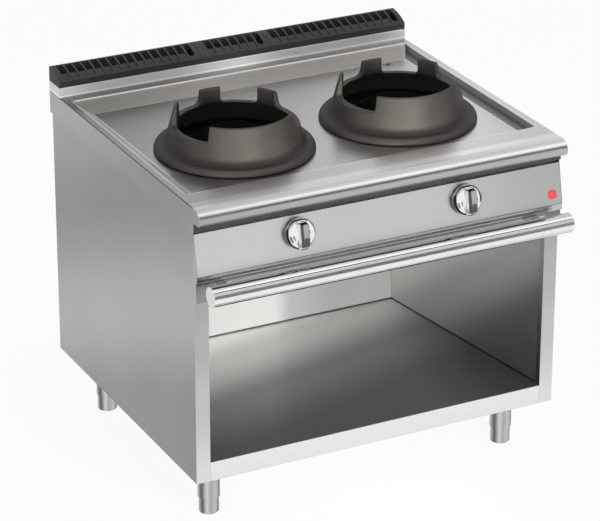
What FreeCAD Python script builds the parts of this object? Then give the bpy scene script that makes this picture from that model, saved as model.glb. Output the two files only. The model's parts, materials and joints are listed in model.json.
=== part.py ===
"""Free-standing gas wok range with two wok burners over an open compartment.

Millimetres.  X runs along the front, Y from the front to the back, Z up.
The origin lies on the floor under the middle of the whole outline.
"""
import FreeCAD, Part
import math
import os
from FreeCAD import Vector

# ---------------------------------------------------------------- overall sizes
overall_width = 1000.0
base_depth = 850.0          # side panel, from the posts to its back edge
rear_overhang = 15.0        # worktop behind the side panels
nose_reach = 35.0           # worktop nose ahead of the posts
worktop_height = 870.0
base_clearance = 145.0      # floor to the underside of the cabinet
rail_radius = 25.0
rail_reach = 68.0           # rail centre line ahead of the posts

overall_depth = rear_overhang + base_depth + rail_reach + rail_radius
back_y = overall_depth / 2 - rear_overhang
front_y = back_y - base_depth
half_width = overall_width / 2

# ---------------------------------------------------------------- clearances
seam = 0.3                  # gap between neighbouring sheets
lift_gap = 0.3              # under a piece that lifts off
running_fit = 0.05          # radial, round spindles and stems
fitted = 0.02               # radial, round a piece fixed in a hole
bite = 1.0                  # cutters run past, and joined shapes into, each other
arc_margin = 0.01           # keeps a short straight edge between two end arcs

# ---------------------------------------------------------------- sheet metal
panel_sheet = 1.5
worktop_sheet = 2.0
liner_sheet = 1.0
channel_sheet = 2.0

# ---------------------------------------------------------------- worktop
apron_height = 60.0
nose_top_radius = 26.0
nose_bottom_radius = 14.0
nose_height = 40.0          # rolled part of the front apron
lip_setback = 1.0           # apron's lip under the nose, ahead of the posts
rim_edge_radius = 3.0       # eased outer edges of the top
side_rim = 17.0
front_rim = 81.0            # posts to the front edge of the well
rear_rim = 81.0             # back edge of the side panels to the well
well_depth = 20.0
well_side_slope = 33.0
well_front_slope = 36.0
well_rear_slope = 63.0
well_corner_radius = 8.0
well_floor_corner_radius = 4.0
duct_mouth_margin = 4.0     # flue opening to the riser and the rear flange

# ---------------------------------------------------------------- cabinet
side_reveal = 0.3           # side panels inside the worktop's outline
post_width = 37.0
post_return = 20.0
rear_flange = 25.0
pan_height = 50.0
pan_lip = 20.0
pan_rear_gap = 32.0
compartment_depth = 630.0
compartment_rear_half = 378.0
compartment_height = 445.0
hanger_depth = 20.0
front_member_width = 14.0
rear_member_width = 26.0
rear_member_inset = 92.0
member_height = 30.0
leg_bar_width = 90.0
leg_bar_lip = 22.0
leg_inset_x = 83.0
front_leg_inset = 110.0
rear_leg_inset = 114.0

# ---------------------------------------------------------------- control panel
panel_height = 102.0
panel_gap = 9.0             # dark gap under the worktop's nose
panel_top_setback = 4.0     # panel's top edge behind the posts
panel_bottom_reach = 17.0   # panel's bottom edge ahead of the posts
panel_return = 16.0
trim_reach = 15.0
trim_height = 15.5
trim_gap = 2.0
fascia_reach = 9.0
fascia_height = 53.0
fascia_return = 26.0

# ---------------------------------------------------------------- rail
rail_wall = 1.5
rail_rise = 12.0            # top of the rail above the fascia's upper step
rail_end_margin = 10.0      # from the end of the rail to the worktop's end
cap_thickness = 3.0
cap_spigot = 12.0
cap_edge_radius = 1.0
bracket_inset = 70.0
bracket_width = 26.0
bracket_height = 14.0
bracket_drop = 10.0         # its axis below the rail's
bracket_plate = 44.0
bracket_plate_height = 28.0
bracket_plate_thickness = 3.0

# ---------------------------------------------------------------- burners
burner_offset = 228.0       # centre of the range to a burner
burner_setback = 340.0      # posts to the burners
burner_hole_radius = 118.0
collar_wall = 2.0
collar_flange = 20.0
collar_height = 12.0
burner_radius = 84.0
burner_wall = 6.0
burner_top = 12.0           # burner body's rim above the well floor
burner_depth = 57.0
burner_bevel = 14.0
burner_foot_thickness = 6.0
burner_foot_length = 176.0
burner_foot_width = 56.0
crown_height = 32.0
crown_radius = 88.0
crown_bore = 22.0
crown_ports = 32
crown_port_width = 4.0
crown_port_depth = 11.0
crown_port_height = 14.0
crown_port_margin = 4.0     # metal under and over the ports
crown_wall = 6.0
crown_slope = 16.0
mixer_radius = 16.0
mixer_wall = 3.5
mixer_mouth_radius = 21.0
mixer_mouth_length = 18.0
mixer_drop = 22.0           # mixing tube's axis below the well floor's underside
mixer_front = 120.0         # posts to the mouth of the mixing tube
jet_radius = 5.0
jet_length = 22.0
jet_hex = 9.0
burner_rail_width = 30.0
burner_rail_height = 24.0
burner_rail_offset = 48.0
pilot_radius = 5.0
pilot_distance = 101.0
pilot_height = 80.0
probe_radius = 2.5
probe_height = 66.0
probe_nut_margin = 2.0
probe_nut_height = 5.0
probe_angle = -46.0
pilot_angle = -58.0
pilot_plate = 3.0
pilot_plate_margin = 9.0

# ---------------------------------------------------------------- wok rings
ring_radius = 200.0
ring_height = 108.0
ring_crown_radius = 150.0
ring_crown_wall = 9.0
ring_wall = 12.0
ring_lip_height = 4.0
ring_skirt_height = 18.0
ring_bulge_inset = 4.5      # middle of the convex skirt, in from the foot
ring_bulge_share = 0.66     # and its share of the skirt's height
ring_groove_radius = 181.0
ring_groove_hollow = 7.5
ring_groove_rise = 5.5
ring_waist_radius = 167.0
ring_waist_height = 38.0
ring_low_drop = 42.0        # low rim under the crown
ring_notch_radius = 13.0
ring_lugs = ((30.0, 22.0), (89.5, 22.0), (150.0, 24.0), (268.5, 97.0))

# ---------------------------------------------------------------- flue
riser_depth = 52.0          # riser's front ahead of the side panels' back edge
riser_height = 26.0
riser_wall = 2.0
flue_module = 200.0         # the covers are two, one and two modules long
flue_seam = 1.0
flue_cover_height = 38.0
flue_cover_wall = 4.0
flue_lip = 16.0             # upright front edge
flue_crown = 5.0            # rise of the curved top over its chord
flue_skirt = 6.0
flue_skirt_clearance = 1.0
slot_pitch = 23.5
slot_width = 18.5
slot_corner_radius = 2.0
slot_rear_margin = 5.0
slot_opening = 36.0         # open rear part of each slot, along Y
slot_front_margin = 5.0
slot_recess = 2.4           # depth of each slot's closed front part
left_end_margin = 8.0       # least width of the plain left end
wide_slot_width = 17.0
wide_slot_margin = 22.0     # its centre to the right end
flue_duct_depth = 50.0
flue_duct_height = 138.0
flue_duct_margin = 30.0

# ---------------------------------------------------------------- knobs and taps
knob_radius = 38.0
knob_skirt = 14.0
knob_height = 33.0
knob_travel = 4.0
knob_clearance = 1.0        # knob to bezel, pushed in
knob_bore = 15.0
grip_width = 18.0
grip_corner_radius = 5.0
grip_edge_radius = 3.0
grip_root = 4.0             # grip bar's depth in the knob
grip_length = 70.0
grip_height = 38.0
knob_drop = 45.0            # panel's top edge to the knob's axis, along the panel
bezel_radius = 36.0
bezel_thickness = 3.0
bezel_edge_radius = 1.5
bezel_hole = 26.0
panel_hole_radius = 14.0
spindle_radius = 4.0
spindle_collar_radius = 7.0
spindle_collar = 3.0
spindle_collar_depth = 9.0
plunger_radius = 9.0
plunger_length = 16.0
tap_radius = 16.0
tap_length = 56.0
tap_floor = 16.0
tap_stub_radius = 13.0
tap_outlet_margin = 9.0     # outlet's axis from the tap's back end
tap_neck_radius = 12.5
tap_neck_length = 5.0
tap_boss_wall = 4.0
tap_boss_height = 8.0
badge_radius = 12.5
badge_thickness = 1.2
badge_inset = 27.0
badge_rise = 26.0

# ---------------------------------------------------------------- gas line
manifold_radius = 10.5
manifold_wall = 2.5
manifold_drop = 42.0        # manifold's axis below the taps
manifold_end_margin = 90.0  # its ends to the sides of the range
plug_margin = 2.0
plug_half_length = 6.0
inlet_radius = 10.5         # outside of the inlet's half-inch thread
inlet_pipe_radius = 9.0
inlet_offset = 30.0         # inlet's run beyond the end of the manifold
inlet_bend = 26.0
inlet_hole_gap = 2.0
inlet_stub = 13.0
inlet_nut = 17.0
inlet_nut_length = 5.0
inlet_neck = 1.0            # bare pipe between the nut and the thread
supply_radius = 5.0
supply_bend = 14.0
pilot_pipe_radius = 2.0
pilot_pipe_bend = 8.0
pilot_pipe_offset = 11.0

# ---------------------------------------------------------------- legs
sleeve_radius = 28.0
sleeve_wall = 1.5
sleeve_bottom = 44.0
foot_radius = 25.4
foot_edge_radius = 4.0
foot_top = 95.0
foot_wall = 2.0
stem_radius = 8.0
stem_length = 43.0
insert_thickness = 12.0
leg_plate_size = 84.0
leg_plate_thickness = 3.0
leg_bolt_radius = 4.0
leg_bolt_head = 6.5
leg_bolt_head_height = 5.0
leg_bolt_end = 6.0          # bolt's end above the bar's sheet
leg_bolt_spacing = 66.0
leg_bolt_hole_gap = 0.5

# ---------------------------------------------------------------- small parts
drain_radius = 15.0
drain_thickness = 2.0
drain_hole = 5.0
drain_tail_radius = 9.0
drain_tail_length = 40.0
drain_inset_x = 64.0        # from the edge of the well floor
drain_inset_y = 24.0
screw_radius = 2.0
screw_head_radius = 4.0
screw_head_height = 2.0
back_screw_count = 5
back_screw_margins = (25.0, 25.0)   # lowest screw to the cabinet's foot, highest to the apron

# ---------------------------------------------------------------- worked out
cheek_inner = half_width - side_reveal - panel_sheet
inner_half = cheek_inner - seam
apron_bottom = worktop_height - apron_height
well_floor = worktop_height - well_depth
well_underside = well_floor - worktop_sheet
burner_y = front_y + burner_setback
pan_top = base_clearance + pan_height
post_inner = half_width - side_reveal - post_width
panel_top_z = apron_bottom - panel_gap
panel_bottom_z = panel_top_z - panel_height
panel_top_y = front_y + panel_top_setback
panel_bottom_y = front_y - panel_bottom_reach
panel_tilt = math.degrees(math.atan2(panel_bottom_reach + panel_top_setback, panel_height))
trim_top_z = panel_bottom_z - trim_gap
trim_bottom_z = trim_top_z - trim_height
trim_y = front_y - trim_reach
fascia_y = front_y - fascia_reach
fascia_bottom_z = trim_bottom_z - fascia_height
ceiling_z = pan_top + compartment_height
rail_z = trim_bottom_z + rail_rise - rail_radius
rail_y = front_y - rail_reach
manifold_half = half_width - manifold_end_margin
riser_top = worktop_height + riser_height
riser_front_y = back_y - riser_depth
worktop_back_y = back_y + rear_overhang
burner_rim_z = well_floor + burner_top
burner_base_z = burner_rim_z - burner_depth
mixer_z = well_underside - mixer_drop
knob_standoff = bezel_thickness + knob_travel + knob_clearance
sides = (("left", -1), ("right", 1))
corner_names = ("front_left", "front_right", "rear_left", "rear_right")


# ---------------------------------------------------------------- helpers
def block(x0, x1, y0, y1, z0, z1):
    """Box between two corners, given in any order along X."""
    low_x = min(x0, x1)
    return Part.makeBox(abs(x1 - x0), y1 - y0, z1 - z0, Vector(low_x, y0, z0))


def rod(radius, start, end):
    """Solid cylinder from one point to another."""
    axis = end - start
    return Part.makeCylinder(radius, axis.Length, start, axis)


def pipe(outer, inner, start, end):
    """Straight tube from one point to another."""
    return rod(outer, start, end).cut(rod(inner, start, end))


def hexagon(across_half, start, end):
    """Hexagonal prism whose flats lie across_half from its axis."""
    axis = end - start
    corner = across_half / math.cos(math.pi / 6)
    points = []
    for k in range(7):
        angle = k * math.pi / 3
        points.append(Vector(corner * math.cos(angle), corner * math.sin(angle), 0))
    prism = Part.Face(Part.makePolygon(points)).extrude(Vector(0, 0, axis.Length))
    prism.Placement = FreeCAD.Placement(start, FreeCAD.Rotation(Vector(0, 0, 1), axis))
    return prism


def corner_arc(before, corner, after, radius):
    """Ends and middle of the arc that rounds one corner of an outline."""
    to_before = (before - corner).normalize()
    to_after = (after - corner).normalize()
    half_angle = to_before.getAngle(to_after) / 2
    reach = radius / math.tan(half_angle)
    bisector = (to_before + to_after).normalize()
    centre = corner + bisector * (radius / math.sin(half_angle))
    return corner + to_before * reach, centre - bisector * radius, corner + to_after * reach


def rounded_face(corners):
    """Flat face from (point, radius) pairs, each corner rounded to its radius."""
    count = len(corners)
    edges = []
    arcs = []
    for k, (corner, radius) in enumerate(corners):
        if radius > 0:
            before = corners[k - 1][0]
            after = corners[(k + 1) % count][0]
            arcs.append(corner_arc(before, corner, after, radius))
        else:
            arcs.append((corner, corner, corner))
    for k, (start, middle, end) in enumerate(arcs):
        if (end - start).Length > 1e-6:
            edges.append(Part.Arc(start, middle, end).toShape())
        next_start = arcs[(k + 1) % count][0]
        if (next_start - end).Length > 1e-6:
            edges.append(Part.makeLine(end, next_start))
    return Part.Face(Part.Wire(edges))


def yz_prism(corners, x0, x1):
    """Solid with a constant outline across the width: corners are (y, z, radius)."""
    face = rounded_face([(Vector(x0, y, z), radius) for y, z, radius in corners])
    return face.extrude(Vector(x1 - x0, 0, 0))


def xy_prism(corners, z0, z1):
    """Upright solid with a constant plan: corners are (x, y, radius)."""
    face = rounded_face([(Vector(x, y, z0), radius) for x, y, radius in corners])
    return face.extrude(Vector(0, 0, z1 - z0))


def rounded_rectangle(half_x, y0, y1, z, radius):
    """Closed wire of a rectangle with round corners."""
    corners = ((-half_x, y0), (half_x, y0), (half_x, y1), (-half_x, y1))
    face = rounded_face([(Vector(x, y, z), radius) for x, y in corners])
    return face.OuterWire


def lathe(points, centre_x, centre_y):
    """Solid of revolution about an upright axis: points are (radius, z)."""
    outline = [Vector(radius, 0, z) for radius, z in points]
    outline.append(outline[0])
    solid = Part.Face(Part.makePolygon(outline)).revolve(Vector(0, 0, 0), Vector(0, 0, 1), 360)
    solid.translate(Vector(centre_x, centre_y, 0))
    return solid


def turned_along_y(points, centre_x, centre_z):
    """Solid of revolution about a level axis along Y: points are (radius, y)."""
    outline = [Vector(centre_x + radius, y, centre_z) for radius, y in points]
    outline.append(outline[0])
    axis_point = Vector(centre_x, 0, centre_z)
    return Part.Face(Part.makePolygon(outline)).revolve(axis_point, Vector(0, 1, 0), 360)


def bent_rod(radius, points, bend):
    """Round bar along straight runs joined by equal bends."""
    edges = []
    start = points[0]
    for k in range(1, len(points) - 1):
        arc_start, middle, arc_end = corner_arc(points[k - 1], points[k], points[k + 1], bend)
        edges.append(Part.makeLine(start, arc_start))
        edges.append(Part.Arc(arc_start, middle, arc_end).toShape())
        start = arc_end
    edges.append(Part.makeLine(start, points[-1]))
    path = Part.Wire(edges)
    section = Part.Wire(Part.makeCircle(radius, points[0], points[1] - points[0]))
    return path.makePipeShell([section], True, False)


def joined(shapes):
    """One solid from overlapping shapes."""
    result = shapes[0].fuse(shapes[1:])
    return result.removeSplitter()


def group(shapes):
    """Separate solids that share one file."""
    return Part.makeCompound(shapes)


def panel_point(x, drop, out):
    """Point on the control panel: drop down the slope and out along its normal."""
    tilt = math.radians(panel_tilt)
    y = panel_top_y - drop * math.sin(tilt) - out * math.cos(tilt)
    z = panel_top_z - drop * math.cos(tilt) + out * math.sin(tilt)
    return Vector(x, y, z)


def on_panel(shape, x):
    """Turn a piece built along +Z onto the control panel at a knob's place."""
    placed = shape.copy()
    placed.rotate(Vector(0, 0, 0), Vector(1, 0, 0), 90 - panel_tilt)
    placed.translate(panel_point(x, knob_drop, 0))
    return placed


# ---------------------------------------------------------------- cabinet
def side_panel(side):
    """Side sheet that runs forward to the tilted panel, with its folded front post."""
    outer = side * (half_width - side_reveal)
    inner = side * cheek_inner
    outline = (
        (back_y, base_clearance, 0), (back_y, apron_bottom, 0), (panel_top_y, apron_bottom, 0),
        (panel_top_y, panel_top_z, 0), (panel_bottom_y, panel_bottom_z, 0), (trim_y, trim_top_z, 0),
        (trim_y, trim_bottom_z, 0), (fascia_y, trim_bottom_z, 0), (fascia_y, fascia_bottom_z, 0),
        (front_y, fascia_bottom_z, 0), (front_y, base_clearance, 0))
    sheet = yz_prism(outline, inner, outer)
    post_top = fascia_bottom_z - seam
    face = block(side * post_inner, outer, front_y, front_y + panel_sheet, base_clearance, post_top)
    fold = block(side * post_inner, side * (post_inner + panel_sheet), front_y, front_y + post_return,
                 base_clearance, post_top)
    rear = block(side * (cheek_inner - rear_flange), inner, back_y - 2 * panel_sheet,
                 back_y - panel_sheet, base_clearance, apron_bottom)
    return joined([sheet, face, fold, rear])


def back_panel():
    """Rear sheet with the hole for the gas inlet."""
    sheet = block(-inner_half, inner_half, back_y - panel_sheet, back_y, base_clearance,
                  apron_bottom - seam)
    inlet = Vector(inlet_x(), back_y - 2 * panel_sheet, manifold_z())
    hole = rod(inlet_pipe_radius + inlet_hole_gap, inlet, inlet + Vector(0, 4 * panel_sheet, 0))
    sheet = sheet.cut(hole)
    for point in back_screw_points():
        sheet = sheet.cut(rod(screw_radius + fitted, point - Vector(0, 2 * panel_sheet, 0), point))
    return sheet


def back_screw_points():
    """Where the back panel's screws pass its outer face."""
    reach = cheek_inner - rear_flange / 2
    points = []
    for side in (-1, 1):
        for k in range(back_screw_count):
            low = base_clearance + back_screw_margins[0]
            high = apron_bottom - back_screw_margins[1]
            z = low + (high - low) * k / (back_screw_count - 1)
            points.append(Vector(side * reach, back_y, z))
    return points


def back_screws():
    """Pan-head screws that hold the back panel."""
    screws = []
    for point in back_screw_points():
        head = rod(screw_head_radius, point, point + Vector(0, screw_head_height, 0))
        shank = rod(screw_radius, point - Vector(0, panel_sheet, 0), point + Vector(0, bite, 0))
        screws.append(joined([head, shank]))
    return group(screws)


def bottom_pan():
    """Floor of the compartment with its deep front band."""
    half = post_inner - seam
    rear = back_y - pan_rear_gap
    top = block(-half, half, front_y, rear, pan_top - panel_sheet, pan_top)
    band = block(-half, half, front_y, front_y + panel_sheet, base_clearance, pan_top)
    lip = block(-half, half, front_y, front_y + pan_lip, base_clearance, base_clearance + panel_sheet)
    back = block(-half, half, rear - panel_sheet, rear, base_clearance, pan_top)
    sheets = [top, band, lip, back]
    for side in (-1, 1):
        sheets.append(block(side * half, side * (half - panel_sheet), front_y, rear,
                            pan_top - pan_height / 2, pan_top))
    return joined(sheets)


def base_rail(side):
    """Channel that ties the pan to a side panel."""
    outer = side * cheek_inner
    inner = side * post_inner
    y0 = front_y + post_return + seam
    y1 = back_y - pan_rear_gap
    top = pan_top - panel_sheet
    web = block(outer - side * channel_sheet, outer, y0, y1, base_clearance, top)
    low = block(inner, outer, y0, y1, base_clearance, base_clearance + channel_sheet)
    high = block(inner, outer, y0, y1, top - channel_sheet, top)
    return joined([web, low, high])


def leg_bar(centre_y):
    """Lipped channel across the cabinet that carries two legs."""
    half_length = post_inner - seam - panel_sheet - seam
    half = leg_bar_width / 2
    top = pan_top - panel_sheet
    outer = block(-half_length, half_length, centre_y - half, centre_y + half, base_clearance, top)
    inner = block(-half_length, half_length, centre_y - half + channel_sheet,
                  centre_y + half - channel_sheet, base_clearance + channel_sheet, top - channel_sheet)
    mouth = block(-half_length, half_length, centre_y - half + leg_bar_lip,
                  centre_y + half - leg_bar_lip, base_clearance, base_clearance + channel_sheet)
    bar = outer.cut([inner, mouth])
    for x, y in leg_centres():
        if abs(y - centre_y) < half:
            for point in leg_bolt_points(x, y):
                low = Vector(point.x, point.y, base_clearance)
                bar = bar.cut(rod(leg_bolt_radius + leg_bolt_hole_gap, low,
                                  low + Vector(0, 0, channel_sheet)))
    return bar


def side_liner(side):
    """Side wall of the compartment, closer to the middle at the back."""
    y0 = front_y + post_return + seam
    y1 = front_y + compartment_depth - seam
    corners = (
        (side * post_inner, y0, 0), (side * (post_inner + liner_sheet), y0, 0),
        (side * (compartment_rear_half + liner_sheet), y1, 0), (side * compartment_rear_half, y1, 0))
    return xy_prism(corners, pan_top, ceiling_z - seam)


def rear_liner():
    """Back wall of the compartment."""
    half = compartment_rear_half + liner_sheet
    y0 = front_y + compartment_depth
    return block(-half, half, y0, y0 + liner_sheet, pan_top, ceiling_z - seam)


def compartment_ceiling():
    """Heat shield between the compartment and the burners."""
    y0 = front_y + post_return + seam
    y1 = front_y + compartment_depth + liner_sheet
    front_half = post_inner + liner_sheet
    rear_half = compartment_rear_half + liner_sheet
    corners = ((-front_half, y0, 0), (front_half, y0, 0), (rear_half, y1, 0), (-rear_half, y1, 0))
    sheet = xy_prism(corners, ceiling_z, ceiling_z + liner_sheet)
    hangers = [sheet]
    for side in (-1, 1):
        for near, y in ((rear_half, y1 - hanger_depth), (front_half, y0)):
            hangers.append(block(side * (near - hanger_depth), side * cheek_inner, y, y + hanger_depth,
                                 ceiling_z, ceiling_z + liner_sheet))
    return joined(hangers)


def cross_channel(y0, width, z0, height):
    """Channel from cheek to cheek, open towards the back."""
    outer = block(-cheek_inner, cheek_inner, y0, y0 + width, z0, z0 + height)
    inner = block(-cheek_inner, cheek_inner, y0 + channel_sheet, y0 + width, z0 + channel_sheet,
                  z0 + height - channel_sheet)
    return outer.cut(inner)


# ---------------------------------------------------------------- worktop
def worktop():
    """Pressed top: flat rim, sloped well, round nose and side aprons."""
    nose_y = front_y - nose_reach
    nose_bottom = worktop_height - nose_height
    lip_y = front_y - lip_setback
    inner_nose = nose_y + worktop_sheet
    inner_lip = lip_y + worktop_sheet
    outer_shape = (
        (worktop_back_y, apron_bottom, 0), (worktop_back_y, worktop_height, 0),
        (nose_y, worktop_height, nose_top_radius), (nose_y, nose_bottom, nose_bottom_radius),
        (lip_y, nose_bottom, 0), (lip_y, apron_bottom, 0))
    inner_shape = (
        (worktop_back_y - worktop_sheet, apron_bottom - bite, 0),
        (worktop_back_y - worktop_sheet, worktop_height - worktop_sheet, 0),
        (inner_nose, worktop_height - worktop_sheet, nose_top_radius - worktop_sheet),
        (inner_nose, nose_bottom + worktop_sheet, nose_bottom_radius - worktop_sheet),
        (inner_lip, nose_bottom + worktop_sheet, 0), (inner_lip, apron_bottom - bite, 0))
    body = yz_prism(outer_shape, -half_width, half_width)
    rims = [e for e in body.Edges if e.BoundBox.XLength < arc_margin
            and (e.CenterOfMass.z > worktop_height - arc_margin
                 or e.CenterOfMass.y < nose_y + nose_top_radius / 2)]
    body = body.makeFillet(rim_edge_radius, rims)
    inside = yz_prism(inner_shape, -half_width + worktop_sheet, half_width - worktop_sheet)
    top = body.cut(inside)
    top = top.fuse(well_block(0, 0)).cut(well_block(worktop_sheet, worktop_sheet + bite))
    holes = []
    for side in (-1, 1):
        low = Vector(side * burner_offset, burner_y, well_underside - bite)
        holes.append(rod(burner_hole_radius, low, low + Vector(0, 0, worktop_sheet + 2 * bite)))
    drain = drain_point()
    holes.append(rod(drain_tail_radius + fitted, drain - Vector(0, 0, worktop_sheet + bite), drain))
    flue_half = half_width - flue_duct_margin + liner_sheet
    holes.append(block(-flue_half, flue_half, riser_front_y + riser_wall + duct_mouth_margin,
                       back_y - duct_mouth_margin, worktop_height - worktop_sheet - bite,
                       worktop_height + bite))
    return top.cut(holes).removeSplitter()


def well_block(inset, rise):
    """Sloped pan, as a solid: inset shrinks it evenly and rise lifts its top."""
    half_top = half_width - side_rim - inset
    y0 = front_y + front_rim + inset
    y1 = back_y - rear_rim - inset
    bottom = well_underside + inset
    top_wire = rounded_rectangle(half_top, y0, y1, worktop_height, well_corner_radius)
    floor_wire = rounded_rectangle(half_top - well_side_slope, y0 + well_front_slope,
                                   y1 - well_rear_slope, bottom, well_floor_corner_radius)
    pan = Part.makeLoft([floor_wire, top_wire], True, True)
    if rise > 0:
        pan = pan.fuse(Part.Face(top_wire).extrude(Vector(0, 0, rise)))
    return pan


def drain_point():
    """Centre of the drain on the well floor."""
    x = half_width - side_rim - well_side_slope - drain_inset_x
    y = back_y - rear_rim - well_rear_slope - drain_inset_y
    return Vector(x, y, well_floor)


def well_drain():
    """Round drain strainer with its threaded tail."""
    centre = drain_point()
    disc = rod(drain_radius, centre, centre + Vector(0, 0, drain_thickness))
    tail = rod(drain_tail_radius, centre - Vector(0, 0, drain_tail_length), centre)
    bore = rod(drain_hole, centre - Vector(0, 0, drain_tail_length + bite),
               centre + Vector(0, 0, drain_thickness + bite))
    return joined([disc, tail]).cut(bore)


# ---------------------------------------------------------------- flue
def flue_riser():
    """Low wall behind the well that carries the flue covers."""
    outer = block(-half_width, half_width, riser_front_y, worktop_back_y, worktop_height, riser_top)
    inner = block(-half_width + riser_wall, half_width - riser_wall, riser_front_y + riser_wall,
                  worktop_back_y - riser_wall, worktop_height, riser_top)
    return outer.cut(inner)


def flue_duct():
    """Open-topped duct that leads the burnt gas up to the riser."""
    half = half_width - flue_duct_margin
    y1 = back_y - 2 * panel_sheet - seam
    y0 = y1 - flue_duct_depth
    top = worktop_height - worktop_sheet
    bottom = top - flue_duct_height
    outer = block(-half, half, y0, y1, bottom, top)
    inner = block(-half + liner_sheet, half - liner_sheet, y0 + liner_sheet, y1 - liner_sheet,
                  bottom + liner_sheet, top)
    window = block(-half + flue_duct_margin, half - flue_duct_margin, y0, y0 + liner_sheet,
                   bottom + flue_duct_margin, bottom + flue_duct_height / 2)
    return outer.cut([inner, window])


def flue_profile(inset, low, x0, x1):
    """Solid across the width with a flue cover's outline, drawn in evenly by inset."""
    high = riser_top + lift_gap + flue_cover_height - inset
    lip = riser_top + lift_gap + flue_lip - inset
    rear = worktop_back_y - inset
    front = riser_front_y + inset
    corners = [Vector(x0 + inset, y, z)
               for y, z in ((front, low), (front, lip), (rear, high), (rear, low))]
    chord = corners[2] - corners[1]
    rise = Vector(0, -chord.z, chord.y).normalize() * flue_crown
    top = Part.Arc(corners[1], corners[1] + chord / 2 + rise, corners[2]).toShape()
    sides = [Part.makeLine(corners[k], corners[(k + 1) % 4]) for k in (0, 2, 3)]
    face = Part.Face(Part.Wire([sides[0], top, sides[1], sides[2]]))
    return face.extrude(Vector(x1 - x0 - 2 * inset, 0, 0))


def flue_cover(x0, x1):
    """Cast cover with a sloped top, a row of slots and one wide slot at its right end."""
    low = riser_top + lift_gap
    left = x0 + flue_seam / 2
    right = x1 - flue_seam / 2
    wall = flue_cover_wall
    outer = flue_profile(0, low, left, right)
    skin = outer.cut(flue_profile(slot_recess, low - bite, left, right))
    cover = outer.cut(flue_profile(wall, low - bite, left, right))
    rear = worktop_back_y - slot_rear_margin
    middle = rear - slot_opening
    front = riser_front_y + slot_front_margin
    half = slot_width / 2
    last = right - wide_slot_margin - slot_pitch
    count = int((last - left - left_end_margin - half) // slot_pitch) + 1
    cuts = [slot_cutter(right - wide_slot_margin, wide_slot_width, front + slot_front_margin, rear,
                        wide_slot_width / 2 - arc_margin)]
    for k in range(count):
        centre = last - k * slot_pitch
        cuts.append(slot_cutter(centre, slot_width, middle, rear, slot_corner_radius))
        recess = block(centre - half, centre + half, front, middle + 2 * slot_corner_radius,
                       low + flue_lip / 2, low + flue_cover_height)
        cuts.append(skin.common(recess))
    cover = cover.cut(cuts)
    guard = riser_wall + flue_skirt_clearance
    y0 = riser_front_y + guard
    y1 = worktop_back_y - guard
    lugs = [cover]
    for start in (left + guard, right - guard - 2 * wall):
        lugs.append(block(start, start + 2 * wall, y0, y0 + wall, low - flue_skirt, low + wall))
        lugs.append(block(start, start + 2 * wall, y1 - wall, y1, low - flue_skirt, low + wall))
    return joined(lugs)


def slot_cutter(centre, width, y0, y1, radius):
    """Upright cutter with round corners for one slot of a flue cover."""
    low = riser_top + lift_gap + flue_lip / 2
    corners = ((centre - width / 2, y0, radius), (centre + width / 2, y0, radius),
               (centre + width / 2, y1, radius), (centre - width / 2, y1, radius))
    return xy_prism(corners, low, low + flue_cover_height)


# ---------------------------------------------------------------- front
def control_panel():
    """Tilted front panel with folded edges and two holes for the taps."""
    tilt = math.radians(panel_tilt)
    step = panel_sheet / math.cos(tilt)
    corners = (
        (panel_top_y, panel_top_z, 0), (panel_bottom_y, panel_bottom_z, 0),
        (panel_bottom_y + panel_return, panel_bottom_z, 0),
        (panel_bottom_y + panel_return, panel_bottom_z + panel_sheet, 0),
        (panel_bottom_y + step, panel_bottom_z + panel_sheet, 0),
        (panel_top_y + step, panel_top_z - panel_sheet, 0),
        (panel_top_y + panel_return, panel_top_z - panel_sheet, 0),
        (panel_top_y + panel_return, panel_top_z, 0))
    panel = yz_prism(corners, -inner_half, inner_half)
    hole = Part.makeCylinder(panel_hole_radius, 6 * panel_sheet, Vector(0, 0, -3 * panel_sheet))
    for side in (-1, 1):
        panel = panel.cut(on_panel(hole, side * burner_offset))
    return panel


def lower_fascia():
    """Folded strip below the control panel that carries the rail."""
    top = block(-inner_half, inner_half, trim_y, trim_y + panel_sheet, trim_bottom_z, trim_top_z)
    lid = block(-inner_half, inner_half, trim_y, front_y + fascia_return - fascia_reach,
                trim_top_z - panel_sheet, trim_top_z)
    shelf = block(-inner_half, inner_half, trim_y, fascia_y + panel_sheet, trim_bottom_z,
                  trim_bottom_z + panel_sheet)
    face = block(-inner_half, inner_half, fascia_y, fascia_y + panel_sheet, fascia_bottom_z,
                 trim_bottom_z + panel_sheet)
    foot = block(-inner_half, inner_half, fascia_y, fascia_y + fascia_return, fascia_bottom_z,
                 fascia_bottom_z + panel_sheet)
    return joined([top, lid, shelf, face, foot])


def blank_badge():
    """Plain round plate near the panel's right end."""
    tilt = math.radians(panel_tilt)
    x = half_width - badge_inset
    drop = panel_height / math.cos(tilt) - badge_rise
    return rod(badge_radius, panel_point(x, drop, 0), panel_point(x, drop, badge_thickness))


def rail_half():
    """Half the length of the rail, with its caps."""
    return half_width - rail_end_margin


def rail():
    """Round towel rail across the whole front."""
    half = rail_half() - cap_thickness
    return pipe(rail_radius, rail_radius - rail_wall, Vector(-half, rail_y, rail_z),
                Vector(half, rail_y, rail_z))


def rail_caps():
    """Flat end caps, each with a spigot inside the rail."""
    caps = []
    for side in (-1, 1):
        end = Vector(side * rail_half(), rail_y, rail_z)
        mouth = end - Vector(side * cap_thickness, 0, 0)
        disc = rod(rail_radius, mouth, end)
        edge = [e for e in disc.Edges if abs(e.CenterOfMass.x - end.x) < 0.01 and e.Closed]
        disc = disc.makeFillet(cap_edge_radius, edge)
        spigot = rod(rail_radius - rail_wall - fitted, mouth - Vector(side * cap_spigot, 0, 0), mouth)
        caps.append(joined([disc, spigot]))
    return group(caps)


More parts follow.
